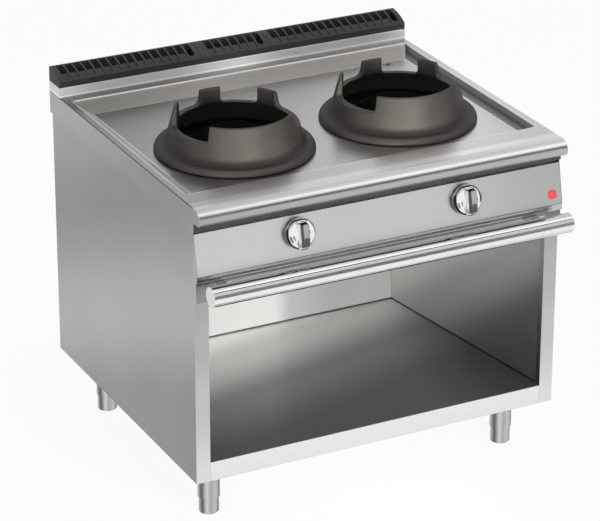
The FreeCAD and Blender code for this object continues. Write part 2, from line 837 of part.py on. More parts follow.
def rail_bracket(side):
    """Stand-off between the fascia and the rail."""
    x = side * (half_width - bracket_inset)
    z = rail_z - bracket_drop
    arm = block(x - bracket_width / 2, x + bracket_width / 2, rail_y, fascia_y,
                z - bracket_height / 2, z + bracket_height / 2)
    plate = block(x - bracket_plate / 2, x + bracket_plate / 2, fascia_y - bracket_plate_thickness,
                  fascia_y, z - bracket_plate_height / 2, z + bracket_plate_height / 2)
    saddle = rod(rail_radius + fitted, Vector(x - bracket_plate, rail_y, rail_z),
                 Vector(x + bracket_plate, rail_y, rail_z))
    return joined([arm, plate]).cut(saddle)


# ---------------------------------------------------------------- knobs and taps
def knob_bezel(side):
    """Flat ring on the panel round the knob's shaft."""
    ring = Part.makeCylinder(bezel_radius, bezel_thickness)
    ring = ring.cut(Part.makeCylinder(bezel_hole, bezel_thickness))
    rim = [e for e in ring.Edges if e.Closed and abs(e.BoundBox.XLength - 2 * bezel_radius) < 0.1
           and e.CenterOfMass.z > bezel_thickness / 2]
    return on_panel(ring.makeFillet(bezel_edge_radius, rim), side * burner_offset)


def knob(side):
    """Round knob with a raised grip bar, bored for the spindle."""
    skirt_top = knob_standoff + knob_skirt
    grip_top = knob_standoff + grip_height
    skirt = Part.makeCylinder(knob_radius, knob_skirt, Vector(0, 0, knob_standoff))
    dome_rise = knob_height - skirt_top
    dome_radius = (knob_radius ** 2 + dome_rise ** 2) / (2 * dome_rise)
    ball = Part.makeSphere(dome_radius, Vector(0, 0, knob_height - dome_radius))
    dome = Part.makeCylinder(knob_radius, dome_rise, Vector(0, 0, skirt_top)).common(ball)
    half_x = grip_width / 2
    half_y = grip_length / 2
    corners = [(x, y, grip_corner_radius)
               for x, y in ((-half_x, -half_y), (half_x, -half_y), (half_x, half_y), (-half_x, half_y))]
    grip = xy_prism(corners, skirt_top - grip_root, grip_top)
    top_edges = [e for e in grip.Edges if e.CenterOfMass.z > grip_top - arc_margin]
    grip = grip.makeFillet(grip_edge_radius, top_edges)
    bore = Part.makeCylinder(spindle_radius + fitted, knob_bore, Vector(0, 0, knob_standoff))
    return on_panel(joined([skirt, dome, grip]).cut(bore), side * burner_offset)


def spindle(side):
    """Shaft from the knob into the tap, with the collar that pushes the plunger."""
    top = knob_standoff + knob_bore
    bottom = -spindle_collar_depth - seam - plunger_length
    shaft = Part.makeCylinder(spindle_radius, top - bottom, Vector(0, 0, bottom))
    collar = Part.makeCylinder(spindle_collar_radius, spindle_collar, Vector(0, 0, -spindle_collar_depth))
    return on_panel(joined([shaft, collar]), side * burner_offset)


def plunger(side):
    """Sleeve in the tap that moves in and out with the spindle but doesn't turn."""
    top = -spindle_collar_depth - seam
    sleeve = Part.makeCylinder(plunger_radius, plunger_length, Vector(0, 0, top - plunger_length))
    bore = Part.makeCylinder(spindle_radius + running_fit, plunger_length,
                             Vector(0, 0, top - plunger_length))
    return on_panel(sleeve.cut(bore), side * burner_offset)


def gas_tap(side):
    """Tap body behind the panel with its saddle on the manifold."""
    x = side * burner_offset
    neck_top = -panel_sheet - seam
    body_top = neck_top - tap_neck_length
    bore_depth = tap_neck_length + tap_length - tap_floor
    neck = Part.makeCylinder(tap_neck_radius, tap_neck_length, Vector(0, 0, body_top))
    body = Part.makeCylinder(tap_radius, tap_length, Vector(0, 0, body_top - tap_length))
    bore = Part.makeCylinder(plunger_radius + running_fit, bore_depth, Vector(0, 0, neck_top - bore_depth))
    saddle = Vector(x, manifold_y(), manifold_z())
    across = Vector(3 * tap_radius, 0, 0)
    outlet = tap_outlet(x)
    small = outlet + Vector(pilot_pipe_offset, 0, 0)
    up = Vector(0, 0, tap_radius)
    solids = [
        on_panel(joined([neck, body]), x),
        rod(tap_stub_radius, saddle, Vector(x, manifold_y(), tap_axis_z())),
        rod(supply_radius + tap_boss_wall, outlet, outlet + up + Vector(0, 0, tap_boss_height)),
        rod(pilot_pipe_radius + tap_boss_wall / 2, small, small + up)]
    cuts = [
        on_panel(bore, x),
        rod(manifold_radius + fitted, saddle - across, saddle + across),
        rod(supply_radius + fitted, outlet + up, outlet + 3 * up),
        rod(pilot_pipe_radius + fitted, small + up / 2, small + 2 * up)]
    return solids[0].fuse(solids[1:]).cut(cuts).removeSplitter()


def tap_axis_z():
    """Height of the middle of a tap's body."""
    depth = panel_sheet + tap_neck_length + tap_length / 2
    return panel_point(0, knob_drop, -depth).z


def tap_outlet(x):
    """Point on a tap's axis under its outlets, near its back end."""
    depth = panel_sheet + tap_neck_length + tap_length - tap_outlet_margin
    return panel_point(x, knob_drop, -depth)


def manifold_y():
    """Manifold's centre line, straight under the middle of the taps."""
    depth = panel_sheet + tap_neck_length + tap_length / 2
    return panel_point(0, knob_drop, -depth).y


def manifold_z():
    """Manifold's height."""
    return tap_axis_z() - manifold_drop


# ---------------------------------------------------------------- gas line
def inlet_x():
    """Where the gas inlet leaves the back."""
    return manifold_half + inlet_offset


def gas_manifold():
    """Pipe along the front that feeds both taps, plugged at its left end."""
    start = Vector(-manifold_half, manifold_y(), manifold_z())
    end = Vector(manifold_half, manifold_y(), manifold_z())
    tube = pipe(manifold_radius, manifold_radius - manifold_wall, start, end)
    reach = Vector(plug_half_length, 0, 0)
    plug = hexagon(manifold_radius + plug_margin, start - reach, start + reach)
    return joined([tube, plug])


def gas_inlet_pipe():
    """Pipe from the manifold along the right side, with its threaded end out of the back."""
    y = manifold_y()
    z = manifold_z()
    start = Vector(manifold_half, y, z)
    turn = Vector(inlet_x(), y, z)
    end = Vector(inlet_x(), back_y + inlet_stub, z)
    tube = bent_rod(inlet_pipe_radius, [start, turn, end], inlet_bend)
    thread = Vector(inlet_x(), back_y + inlet_nut_length + inlet_neck, z)
    return joined([tube, rod(inlet_radius, thread, end)])


def gas_inlet_nut():
    """Hexagonal lock nut on the gas inlet behind the back panel."""
    start = Vector(inlet_x(), back_y, manifold_z())
    end = start + Vector(0, inlet_nut_length, 0)
    return hexagon(inlet_nut, start, end).cut(rod(inlet_pipe_radius + fitted, start, end))


def supply_pipe(side):
    """Pipe from a tap up to the burner's jet."""
    x = side * burner_offset
    low = tap_outlet(x) + Vector(0, 0, tap_radius)
    turn = Vector(x, low.y, mixer_z)
    end = Vector(x, front_y + mixer_front - jet_length + jet_radius, mixer_z)
    return bent_rod(supply_radius, [low, turn, end], supply_bend)


def jet(side):
    """Brass jet at the mouth of the mixing tube."""
    x = side * burner_offset
    nose_end = Vector(x, front_y + mixer_front + mixer_mouth_length / 2, mixer_z)
    back = Vector(x, front_y + mixer_front - jet_length, mixer_z)
    shoulder = back + Vector(0, jet_length - jet_radius, 0)
    nose = rod(jet_radius, shoulder, nose_end)
    holder = hexagon(jet_hex, back, shoulder)
    socket = rod(supply_radius + fitted, back, back + Vector(0, jet_radius, 0))
    return joined([nose, holder]).cut(socket)


# ---------------------------------------------------------------- burners
def burner_body(side):
    """Cast burner bowl with its mixing tube and the foot that it stands on."""
    x = side * burner_offset
    half_foot = burner_foot_width / 2
    half_length = burner_foot_length / 2
    foot_top_z = burner_base_z + burner_foot_thickness
    bowl = lathe(((0, burner_base_z), (burner_radius - burner_bevel, burner_base_z),
                  (burner_radius, burner_base_z + burner_bevel), (burner_radius, burner_rim_z),
                  (0, burner_rim_z)), x, burner_y)
    foot_plate = block(x - half_foot, x + half_foot, burner_y - half_length, burner_y + half_length,
                       burner_base_z, foot_top_z)
    mouth_y = front_y + mixer_front
    flare_y = mouth_y + mixer_mouth_length
    end_y = burner_y - burner_radius / 2
    tube = turned_along_y(((0, mouth_y), (mixer_mouth_radius, mouth_y), (mixer_radius, flare_y),
                           (mixer_radius, end_y), (0, end_y)), x, mixer_z)
    inner_mouth = mixer_mouth_radius - mixer_wall
    inner = mixer_radius - mixer_wall
    bore = turned_along_y(((0, mouth_y - bite), (inner_mouth, mouth_y - bite), (inner, flare_y),
                           (inner, end_y + bite), (0, end_y + bite)), x, mixer_z)
    cavity_radius = burner_radius - burner_wall
    cavity = lathe(((0, foot_top_z + burner_wall), (cavity_radius, foot_top_z + burner_wall),
                    (cavity_radius, burner_rim_z + bite), (0, burner_rim_z + bite)), x, burner_y)
    return joined([bowl, foot_plate, tube]).cut([cavity, bore])


def burner_crown(side):
    """Lift-off crown with its flame ports."""
    x = side * burner_offset
    z0 = burner_rim_z + lift_gap
    z1 = z0 + crown_height
    port_z = z0 + crown_port_margin
    chamber_outer = crown_radius - crown_port_depth - crown_wall
    chamber_inner = crown_bore + crown_wall
    chamber_top = z1 - crown_slope
    crown = lathe(((crown_bore, z0), (crown_radius, z0), (crown_radius, port_z + crown_port_height),
                   (crown_radius - crown_slope, z1), (chamber_inner, z1), (crown_bore, z1 - crown_wall)),
                  x, burner_y)
    chamber = lathe(((chamber_inner, z0), (chamber_outer, z0), (chamber_outer, chamber_top),
                     (chamber_inner, chamber_top)), x, burner_y)
    cuts = [chamber]
    for k in range(crown_ports):
        port = Part.makeBox(crown_port_depth + bite, crown_port_width, crown_port_height,
                            Vector(crown_radius - crown_port_depth, -crown_port_width / 2, port_z))
        port.rotate(Vector(0, 0, 0), Vector(0, 0, 1), 360.0 * k / crown_ports)
        port.translate(Vector(x, burner_y, 0))
        cuts.append(port)
    return crown.cut(cuts)


def burner_collar(side):
    """Raised collar round the hole in the well, which keeps spills out."""
    outer = burner_hole_radius - fitted
    inner = outer - collar_wall
    flange = burner_hole_radius + collar_flange
    top = well_floor + collar_height
    return lathe(((inner, well_underside), (outer, well_underside), (outer, well_floor),
                  (flange, well_floor), (flange, well_floor + collar_wall),
                  (inner + 2 * collar_wall, top), (inner, top)), side * burner_offset, burner_y)


def burner_rail(side_y):
    """Channel under both burners, from cheek to cheek."""
    y0 = burner_y + side_y * burner_rail_offset - burner_rail_width / 2
    return cross_channel(y0, burner_rail_width, burner_base_z - burner_rail_height, burner_rail_height)


def ring_point(side, angle, distance, z):
    """Point at an angle and distance from a burner's axis."""
    turn = math.radians(angle)
    return Vector(side * burner_offset + distance * math.cos(turn), burner_y + distance * math.sin(turn), z)


def pilot_base_z():
    """Underside of the pilot's bracket, which lies under the burner's foot."""
    return burner_base_z - pilot_plate


def pilot(side):
    """Pilot burner tube with the bracket that holds it to the burner's foot."""
    z0 = pilot_base_z()
    low = ring_point(side, pilot_angle, pilot_distance, z0)
    tube = rod(pilot_radius, low, low + Vector(0, 0, pilot_height))
    cut = ring_point(side, probe_angle, pilot_distance, z0)
    x = side * burner_offset + burner_foot_width / 2 - 2 * pilot_plate_margin
    rail_edge = burner_y - burner_rail_offset - burner_rail_width / 2
    plate = block(x, cut.x + pilot_plate_margin, low.y - pilot_plate_margin, rail_edge - seam,
                  z0, z0 + pilot_plate)
    hole = rod(probe_radius + fitted, cut, cut + Vector(0, 0, pilot_plate))
    return joined([tube, plate]).cut(hole)


def thermocouple(side):
    """Flame sensor beside the pilot."""
    low = ring_point(side, probe_angle, pilot_distance, pilot_base_z())
    stem = rod(probe_radius, low, low + Vector(0, 0, probe_height))
    nut_low = low + Vector(0, 0, pilot_plate)
    nut = rod(probe_radius + probe_nut_margin, nut_low, nut_low + Vector(0, 0, probe_nut_height))
    return joined([stem, nut])


def pilot_pipe(side):
    """Thin pipe from a tap to its pilot."""
    high = ring_point(side, pilot_angle, pilot_distance, pilot_base_z())
    low = tap_outlet(side * burner_offset + pilot_pipe_offset) + Vector(0, 0, tap_radius / 2)
    z = burner_base_z - burner_rail_height / 2
    points = [low, Vector(low.x, low.y, z), Vector(high.x, high.y, z), high]
    return bent_rod(pilot_pipe_radius, points, pilot_pipe_bend)


def wok_ring(side):
    """Cast ring: rolled skirt, steep wall and a crown cut into lugs."""
    z0 = well_floor + lift_gap
    z1 = z0 + ring_height
    foot_inner = ring_radius - ring_wall
    groove_inner = ring_groove_radius - ring_wall
    waist_inner = ring_waist_radius - ring_wall
    crown_inner = ring_crown_radius - ring_crown_wall
    crown_middle = ring_crown_radius - ring_crown_wall / 2
    shoulder_z = z1 - ring_crown_wall / 2
    lip_z = z0 + ring_lip_height
    skirt_z = z0 + ring_skirt_height
    waist_z = z0 + ring_waist_height
    bulge = Vector(ring_radius - ring_bulge_inset, 0, lip_z + (skirt_z - lip_z) * ring_bulge_share)
    groove = Vector(ring_groove_radius - ring_groove_hollow, 0, skirt_z + ring_groove_rise)
    crown = Vector(crown_middle, 0, z1)
    lip_point = Vector(ring_radius, 0, lip_z)
    skirt_point = Vector(ring_groove_radius, 0, skirt_z)
    waist_point = Vector(ring_waist_radius, 0, waist_z)
    shoulder_point = Vector(ring_crown_radius, 0, shoulder_z)
    inner_points = [
        Vector(crown_inner, 0, shoulder_z), Vector(crown_inner, 0, z1 - ring_low_drop),
        Vector(waist_inner, 0, waist_z),
        Vector(groove_inner, 0, skirt_z - ring_groove_rise), Vector(foot_inner, 0, lip_z),
        Vector(foot_inner, 0, z0), Vector(ring_radius, 0, z0)]
    edges = [
        Part.makeLine(inner_points[-1], lip_point),
        Part.Arc(lip_point, bulge, skirt_point).toShape(),
        Part.Arc(skirt_point, groove, waist_point).toShape(),
        Part.makeLine(waist_point, shoulder_point),
        Part.Arc(shoulder_point, crown, inner_points[0]).toShape()]
    for start, end in zip(inner_points, inner_points[1:]):
        edges.append(Part.makeLine(start, end))
    ring = Part.Face(Part.Wire(edges)).revolve(Vector(0, 0, 0), Vector(0, 0, 1), 360)
    gaps = []
    count = len(ring_lugs)
    for k in range(count):
        start = ring_lugs[k][0] + ring_lugs[k][1] / 2
        end = ring_lugs[(k + 1) % count][0] - ring_lugs[(k + 1) % count][1] / 2
        if end < start:
            end += 360
        gaps.append(gap_cutter(start, end, z1 - ring_low_drop, z1 + bite))
    ring = ring.cut(gaps)
    ring.translate(Vector(side * burner_offset, burner_y, 0))
    return ring


def gap_cutter(start, end, low, high):
    """Wedge between two lugs, with round lower corners, unrolled on the crown's radius."""
    reach = ring_waist_radius + 2 * ring_wall
    sweep = end - start
    wedge = Part.makeCylinder(reach, high - low, Vector(0, 0, low), Vector(0, 0, 1), sweep)
    wedge.rotate(Vector(0, 0, 0), Vector(0, 0, 1), start)
    fillets = []
    for angle, turn in ((start, 1), (end, -1)):
        fillets.append(corner_fillet(angle, turn, low))
    return wedge.cut(fillets)


def corner_fillet(angle, turn, low):
    """Bar that leaves a round corner at the foot of a lug."""
    radius = ring_notch_radius
    length = ring_waist_radius + 3 * ring_wall
    bar = Part.makeBox(length, radius, radius, Vector(0, 0, low))
    bar = bar.cut(Part.makeCylinder(radius, length, Vector(0, radius, low + radius), Vector(1, 0, 0)))
    if turn < 0:
        bar = bar.mirror(Vector(0, 0, 0), Vector(0, 1, 0))
    bar.rotate(Vector(0, 0, 0), Vector(0, 0, 1), angle)
    return bar


# ---------------------------------------------------------------- legs
def leg_centres():
    """Centres of the four legs, front pair first."""
    x = half_width - leg_inset_x
    front = front_y + front_leg_inset
    rear = back_y - rear_leg_inset
    return ((-x, front), (x, front), (-x, rear), (x, rear))


def leg_bolt_points(x, y):
    """Where a leg plate's four bolts go up."""
    half = leg_bolt_spacing / 2
    z = base_clearance - leg_plate_thickness
    return [Vector(x + sx * half, y + sy * half, z) for sx in (-1, 1) for sy in (-1, 1)]


def leg_sleeve(x, y):
    """Upper tube of a leg, with its plate and the threaded insert."""
    plate_low = base_clearance - leg_plate_thickness
    half = leg_plate_size / 2
    plate = block(x - half, x + half, y - half, y + half, plate_low, base_clearance)
    for point in leg_bolt_points(x, y):
        plate = plate.cut(rod(leg_bolt_radius + leg_bolt_hole_gap, point,
                              point + Vector(0, 0, leg_plate_thickness)))
    tube = pipe(sleeve_radius, sleeve_radius - sleeve_wall, Vector(x, y, sleeve_bottom),
                Vector(x, y, plate_low))
    insert_low = foot_top + seam
    insert = pipe(sleeve_radius, stem_radius + running_fit, Vector(x, y, insert_low),
                  Vector(x, y, insert_low + insert_thickness))
    return joined([plate, tube, insert])


def foot(x, y):
    """Adjustable foot: closed cup with a stem that rises into the insert."""
    cup = rod(foot_radius, Vector(x, y, 0), Vector(x, y, foot_top))
    base_edge = [e for e in cup.Edges if e.Closed and e.CenterOfMass.z < 1]
    cup = cup.makeFillet(foot_edge_radius, base_edge)
    hollow = pipe(foot_radius - foot_wall, stem_radius, Vector(x, y, 3 * foot_wall),
                  Vector(x, y, foot_top - 2 * foot_wall))
    stem = rod(stem_radius, Vector(x, y, 3 * foot_wall), Vector(x, y, foot_top + stem_length))
    return cup.cut(hollow).fuse(stem).removeSplitter()


def leg_bolts():
    """Bolts that hold the leg plates to the bars."""
    bolts = []
    for x, y in leg_centres():
        for point in leg_bolt_points(x, y):
            head = hexagon(leg_bolt_head, point - Vector(0, 0, leg_bolt_head_height), point)
            length = leg_plate_thickness + channel_sheet + leg_bolt_end
            shank = rod(leg_bolt_radius, point - Vector(0, 0, bite), point + Vector(0, 0, length))
            bolts.append(joined([head, shank]))
    return group(bolts)


# ---------------------------------------------------------------- assembly
def assembly():
    """Every piece by its node's name."""
    pieces = {
        "back_panel": back_panel(),
        "back_screws": back_screws(),
        "bottom_pan": bottom_pan(),
        "front_leg_bar": leg_bar(front_y + front_leg_inset),
        "rear_leg_bar": leg_bar(back_y - rear_leg_inset),
        "rear_liner": rear_liner(),
        "compartment_ceiling": compartment_ceiling(),
        "front_cross_member": cross_channel(panel_top_y + panel_return + seam, front_member_width,
                                            apron_bottom - member_height, member_height),
        "rear_cross_member": cross_channel(back_y - rear_member_inset, rear_member_width,
                                           apron_bottom - member_height, member_height),
        "worktop": worktop(),
        "well_drain": well_drain(),
        "flue_riser": flue_riser(),
        "flue_duct": flue_duct(),
        "left_flue_cover": flue_cover(-half_width, -half_width + 2 * flue_module),
        "middle_flue_cover": flue_cover(-half_width + 2 * flue_module, half_width - 2 * flue_module),
        "right_flue_cover": flue_cover(half_width - 2 * flue_module, half_width),
        "control_panel": control_panel(),
        "lower_fascia": lower_fascia(),
        "blank_badge": blank_badge(),
        "rail": rail(),
        "rail_caps": rail_caps(),
        "gas_manifold": gas_manifold(),
        "gas_inlet_pipe": gas_inlet_pipe(),
        "gas_inlet_nut": gas_inlet_nut(),
        "leg_bolts": leg_bolts(),
    }
    per_side = {
        "side_panel": side_panel, "side_liner": side_liner, "knob_bezel": knob_bezel, "knob": knob,
        "spindle": spindle, "tap_plunger": plunger, "gas_tap": gas_tap, "burner_body": burner_body,
        "burner_crown": burner_crown, "burner_collar": burner_collar, "wok_ring": wok_ring,
    }
    pairs = {
        "base_rails": base_rail, "rail_brackets": rail_bracket, "supply_pipes": supply_pipe,
        "jets": jet, "pilots": pilot, "thermocouples": thermocouple, "pilot_pipes": pilot_pipe,
        "burner_rails": burner_rail,
    }
    for name, build in pairs.items():
        pieces[name] = group([build(-1), build(1)])
    for name, side in sides:
        for piece, build in per_side.items():
            pieces[name + "_" + piece] = build(side)
    pieces["leg_sleeves"] = group([leg_sleeve(x, y) for x, y in leg_centres()])
    for name, (x, y) in zip(corner_names, leg_centres()):
        pieces[name + "_foot"] = foot(x, y)
    return pieces


def main():
    """Build every piece and write one file for each."""
    os.makedirs("parts", exist_ok=True)
    pieces = assembly()
    for name, shape in pieces.items():
        shape.exportStep("parts/" + name + ".step")
        print(name, len(shape.Solids), shape.isValid(), round(shape.Volume / 1000, 2))
    print(len(pieces), "nodes")


main()
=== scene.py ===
"""Looks of a free-standing gas wok range: finishes, detailed pieces, studio and camera.

Everything is in metres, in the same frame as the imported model: X along the front,
Y from the front to the back, Z up from the floor.
"""

import json
import logging
import math
from dataclasses import dataclass
from enum import Enum

import bmesh
import bpy
from mathutils import Matrix, Vector


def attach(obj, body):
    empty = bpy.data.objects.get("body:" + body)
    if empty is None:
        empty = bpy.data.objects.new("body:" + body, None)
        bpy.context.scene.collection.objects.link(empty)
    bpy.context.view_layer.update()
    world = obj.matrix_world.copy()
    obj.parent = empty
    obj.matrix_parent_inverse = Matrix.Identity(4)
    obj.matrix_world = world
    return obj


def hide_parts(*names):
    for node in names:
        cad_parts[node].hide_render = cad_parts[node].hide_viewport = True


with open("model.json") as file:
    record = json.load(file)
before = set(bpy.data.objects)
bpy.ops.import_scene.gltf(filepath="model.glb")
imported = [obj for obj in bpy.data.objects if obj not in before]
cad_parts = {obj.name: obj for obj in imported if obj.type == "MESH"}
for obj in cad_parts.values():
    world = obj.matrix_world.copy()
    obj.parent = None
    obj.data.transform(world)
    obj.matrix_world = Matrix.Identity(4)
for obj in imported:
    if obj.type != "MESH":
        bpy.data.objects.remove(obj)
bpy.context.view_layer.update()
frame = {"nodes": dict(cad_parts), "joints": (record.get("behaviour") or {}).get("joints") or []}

LOG = logging.getLogger("wok_range")
NODES = frame["nodes"]
SIDES = ("left", "right")
MERGE_REACH = 0.00001
Triple = tuple[float, float, float]
Span = tuple[float, float]
Stops = tuple[Span, ...]
X_AXIS = (1.0, 0.0, 0.0)
Y_AXIS = (0.0, 1.0, 0.0)
Z_AXIS = (0.0, 0.0, 1.0)
WHITE = (1.0, 1.0, 1.0)
STEEL_WHITE = (1.0, 1.0, 0.975)


# ------------------------------------------------------------------ node helpers
class Sheet:
    """A node tree with short calls for adding and joining nodes."""

    def __init__(self, tree: bpy.types.NodeTree) -> None:
        """Keep the material, world or group tree that is filled."""
        self.tree = tree

    def feed(self, entry: bpy.types.NodeSocket, value: object) -> None:
        """Join a socket to a node's input, or give the input a plain value.

        Args:
            entry: The node's input.
            value: Another node's output, or a plain value.
        """
        if isinstance(value, bpy.types.NodeSocket):
            self.tree.links.new(value, entry)
        else:
            entry.default_value = value

    def add(self, kind: str, inputs: dict | None = None, **properties: object) -> bpy.types.Node:
        """Add one node.

        Args:
            kind: Node's type, such as ShaderNodeMath.
            inputs: Values or sockets by input name or index.
            properties: Plain properties of the node.

        Returns:
            The new node.
        """
        node = self.tree.nodes.new(kind)
        for name, value in properties.items():
            setattr(node, name, value)
        for key, value in (inputs or {}).items():
            self.feed(node.inputs[key], value)
        return node

    def use(self, group: bpy.types.NodeTree, **inputs: object) -> bpy.types.Node:
        """Add a node group with some of its inputs set by name."""
        return self.add("ShaderNodeGroup", inputs, node_tree=group)

    def maths(self, operation: str, first: object, second: object = 0.0, clamp: bool = False) -> object:
        """Work out an operation such as MULTIPLY on values or sockets, held from 0 to 1 if clamp is set."""
        node = self.add("ShaderNodeMath", {0: first, 1: second}, operation=operation, use_clamp=clamp)
        return node.outputs[0]

    def weigh(self, first: object, share: float, second: object) -> object:
        """Sum of two values, the first by its share and the second by the rest."""
        rest = self.maths("MULTIPLY", second, 1 - share)
        return self.maths("ADD", self.maths("MULTIPLY", first, share), rest)

    def blend(self, share: object, first: object, second: object) -> object:
        """Mix two colours and return the result's socket.

        Args:
            share: Part of the second colour, from 0 to 1.
            first: Colour or socket.
            second: Colour or socket.

        Returns:
            The colour socket.
        """
        node = self.add("ShaderNodeMix", data_type="RGBA")
        for key, value in {"Factor": share, "A": as_rgba(first), "B": as_rgba(second)}.items():
            entries = [s for s in node.inputs if s.name == key and (s.type == "RGBA" or key == "Factor")]
            self.feed(entries[0], value)
        return [s for s in node.outputs if s.type == "RGBA"][0]

    def spread(self, value: object, low: float, high: float,
               to_low: float = 0.0, to_high: float = 1.0) -> object:
        """Stretch a range of values to another, held at its ends.

        Args:
            value: Socket to stretch.
            low: Value that becomes to_low.
            high: Value that becomes to_high.
            to_low: Result at low.
            to_high: Result at high.

        Returns:
            The output socket.
        """
        node = self.add("ShaderNodeMapRange", {"Value": value, "From Min": low, "From Max": high,
                                               "To Min": to_low, "To Max": to_high})
        return node.outputs["Result"]

    def place(self) -> object:
        """Place of the shaded point, in the object's own coordinates."""
        return self.add("ShaderNodeTexCoord").outputs["Object"]

    def normal(self, kind: str = "Normal") -> object:
        """Direction that the surface looks at; True Normal leaves out any smoothing."""
        return self.add("ShaderNodeNewGeometry").outputs[kind]

    def dot(self, first: object, second: object) -> object:
        """Scalar product of two vectors."""
        node = self.add("ShaderNodeVectorMath", {0: first, 1: second}, operation="DOT_PRODUCT")
        return node.outputs["Value"]

    def along(self, direction: Triple) -> object:
        """Distance of the shaded point along a direction."""
        return self.dot(self.place(), direction)

    def facing(self, direction: Triple) -> object:
        """How far the surface looks along a direction: 1 along it, 0 across it, -1 against it."""
        return self.dot(self.normal(), direction)

    def ramp(self, value: object, stops: Stops) -> object:
        """Soft change of brightness through some stops.

        Args:
            value: Socket that the stops' places refer to.
            stops: Place and brightness of each stop, in rising order of place.

        Returns:
            The brightness socket.
        """
        low, high = stops[0][0], stops[-1][0]
        node = self.add("ShaderNodeValToRGB", {"Fac": self.spread(value, low, high)})
        node.color_ramp.interpolation = "EASE"
        points = node.color_ramp.elements
        points.remove(points[1])
        points[0].color = (stops[0][1],) * 3 + (1.0,)
        for place, level in stops[1:]:
            points.new((place - low) / (high - low)).color = (level, level, level, 1.0)
        return node.outputs["Color"]

    def product(self, *colours: object) -> object:
        """Multiply colours with each other.

        Args:
            colours: Colours, or sockets of colours or brightnesses.

        Returns:
            The result's socket, or the colour itself where there is only one.
        """
        total = as_rgba(colours[0])
        for colour in colours[1:]:
            factors = [v if isinstance(v, bpy.types.NodeSocket) else v[:3] for v in (total, colour)]
            node = self.add("ShaderNodeVectorMath", dict(enumerate(factors)), operation="MULTIPLY")
            total = node.outputs[0]
        return total


def as_rgba(colour: object) -> object:
    """Give a plain colour its fourth value.

    Args:
        colour: Colour or socket.

    Returns:
        The colour with its fourth value, or the socket as it is.
    """
    if isinstance(colour, bpy.types.NodeSocket):
        return colour
    return (colour[0], colour[1], colour[2], 1.0)


def new_group(name: str, inputs: dict[str, tuple[str, object]], outputs: tuple[str, ...]) -> tuple:
    """Start a shader node group.

    Args:
        name: Group's name.
        inputs: Socket type and default by input name.
        outputs: Names of its outputs, which are plain values.

    Returns:
        The sheet, the group's input node and its output node.
    """
    tree = bpy.data.node_groups.new(name, "ShaderNodeTree")
    for label, (kind, default) in inputs.items():
        socket = tree.interface.new_socket(label, in_out="INPUT", socket_type=kind)
        socket.default_value = default
    for label in outputs:
        tree.interface.new_socket(label, in_out="OUTPUT", socket_type="NodeSocketFloat")
    sheet = Sheet(tree)
    return sheet, sheet.add("NodeGroupInput"), sheet.add("NodeGroupOutput")


def grain_group() -> bpy.types.NodeTree:
    """Brushed grain: fine streaks whose direction follows the scale's smallest part.

    Returns:
        The group's tree.
    """
    fine_share, coarse_scale = 0.65, 0.23
    darkest, lightest = 0.32, 0.68
    sheet, source, result = new_group("brushed_grain", {"Scale": ("NodeSocketVector", WHITE)}, ("Streaks",))
    stretched = sheet.add("ShaderNodeVectorMath", {0: sheet.place(), 1: source.outputs["Scale"]},
                          operation="MULTIPLY").outputs[0]
    fine = sheet.add("ShaderNodeTexNoise", {"Vector": stretched, "Scale": 1.0, "Detail": 4.0,
                                            "Roughness": 0.65})
    coarse = sheet.add("ShaderNodeTexNoise", {"Vector": stretched, "Scale": coarse_scale, "Detail": 2.0})
    both = sheet.weigh(fine.outputs["Fac"], fine_share, coarse.outputs["Fac"])
    sheet.feed(result.inputs["Streaks"], sheet.spread(both, darkest, lightest))
    return sheet.tree


def cloud_group() -> bpy.types.NodeTree:
    """Soft uneven patches, such as wiping marks, heat tint or thin scale.

    Returns:
        The group's tree.
    """
    sheet, source, result = new_group(
        "soft_patches",
        {"Size": ("NodeSocketFloat", 6.0), "Low": ("NodeSocketFloat", 0.4),
         "High": ("NodeSocketFloat", 0.7), "Warp": ("NodeSocketFloat", 0.6)},
        ("Patches",))
    given = source.outputs
    noise = sheet.add("ShaderNodeTexNoise", {"Vector": sheet.place(), "Scale": given["Size"],
                                             "Detail": 5.0, "Distortion": given["Warp"]})
    patches = sheet.add("ShaderNodeMapRange", {"Value": noise.outputs["Fac"], "From Min": given["Low"],
                                               "From Max": given["High"]},
                        interpolation_type="SMOOTHSTEP")
    sheet.feed(result.inputs["Patches"], patches.outputs["Result"])
    return sheet.tree


def casting_group() -> bpy.types.NodeTree:
    """Sand-cast skin: fine grain over shallow lumps, with a mask of its pits.

    Returns:
        The group's tree.
    """
    fine_share = 0.55
    pit_edge, pit_floor = 0.62, 0.42
    sheet, source, result = new_group(
        "cast_skin",
        {"Grain": ("NodeSocketFloat", 900.0), "Lumps": ("NodeSocketFloat", 60.0)},
        ("Pits", "Height"))
    fine = sheet.add("ShaderNodeTexNoise", {"Vector": sheet.place(), "Scale": source.outputs["Grain"],
                                            "Detail": 3.0, "Roughness": 0.6})
    lumps = sheet.add("ShaderNodeTexNoise", {"Vector": sheet.place(), "Scale": source.outputs["Lumps"],
                                             "Detail": 4.0})
    height = sheet.weigh(fine.outputs["Fac"], fine_share, lumps.outputs["Fac"])
    sheet.feed(result.inputs["Pits"], sheet.spread(fine.outputs["Fac"], pit_edge, pit_floor))
    sheet.feed(result.inputs["Height"], height)
    return sheet.tree


def fold_group() -> bpy.types.NodeTree:
    """Mask of a sheet's folds and edges, 1 on the fold, where a rounded edge would look elsewhere.

    Returns:
        The group's tree.
    """
    flat, folded = 0.999, 0.975
    sheet, source, result = new_group("sheet_folds", {"Radius": ("NodeSocketFloat", 0.0045)}, ("Folds",))
    eased = sheet.add("ShaderNodeBevel", {"Radius": source.outputs["Radius"]}, samples=6)
    match = sheet.dot(eased.outputs[0], sheet.normal())
    sheet.feed(result.inputs["Folds"], sheet.spread(match, flat, folded))
    return sheet.tree


GRAIN = grain_group()
FOLDS = fold_group()
CLOUDS = cloud_group()
CASTING = casting_group()


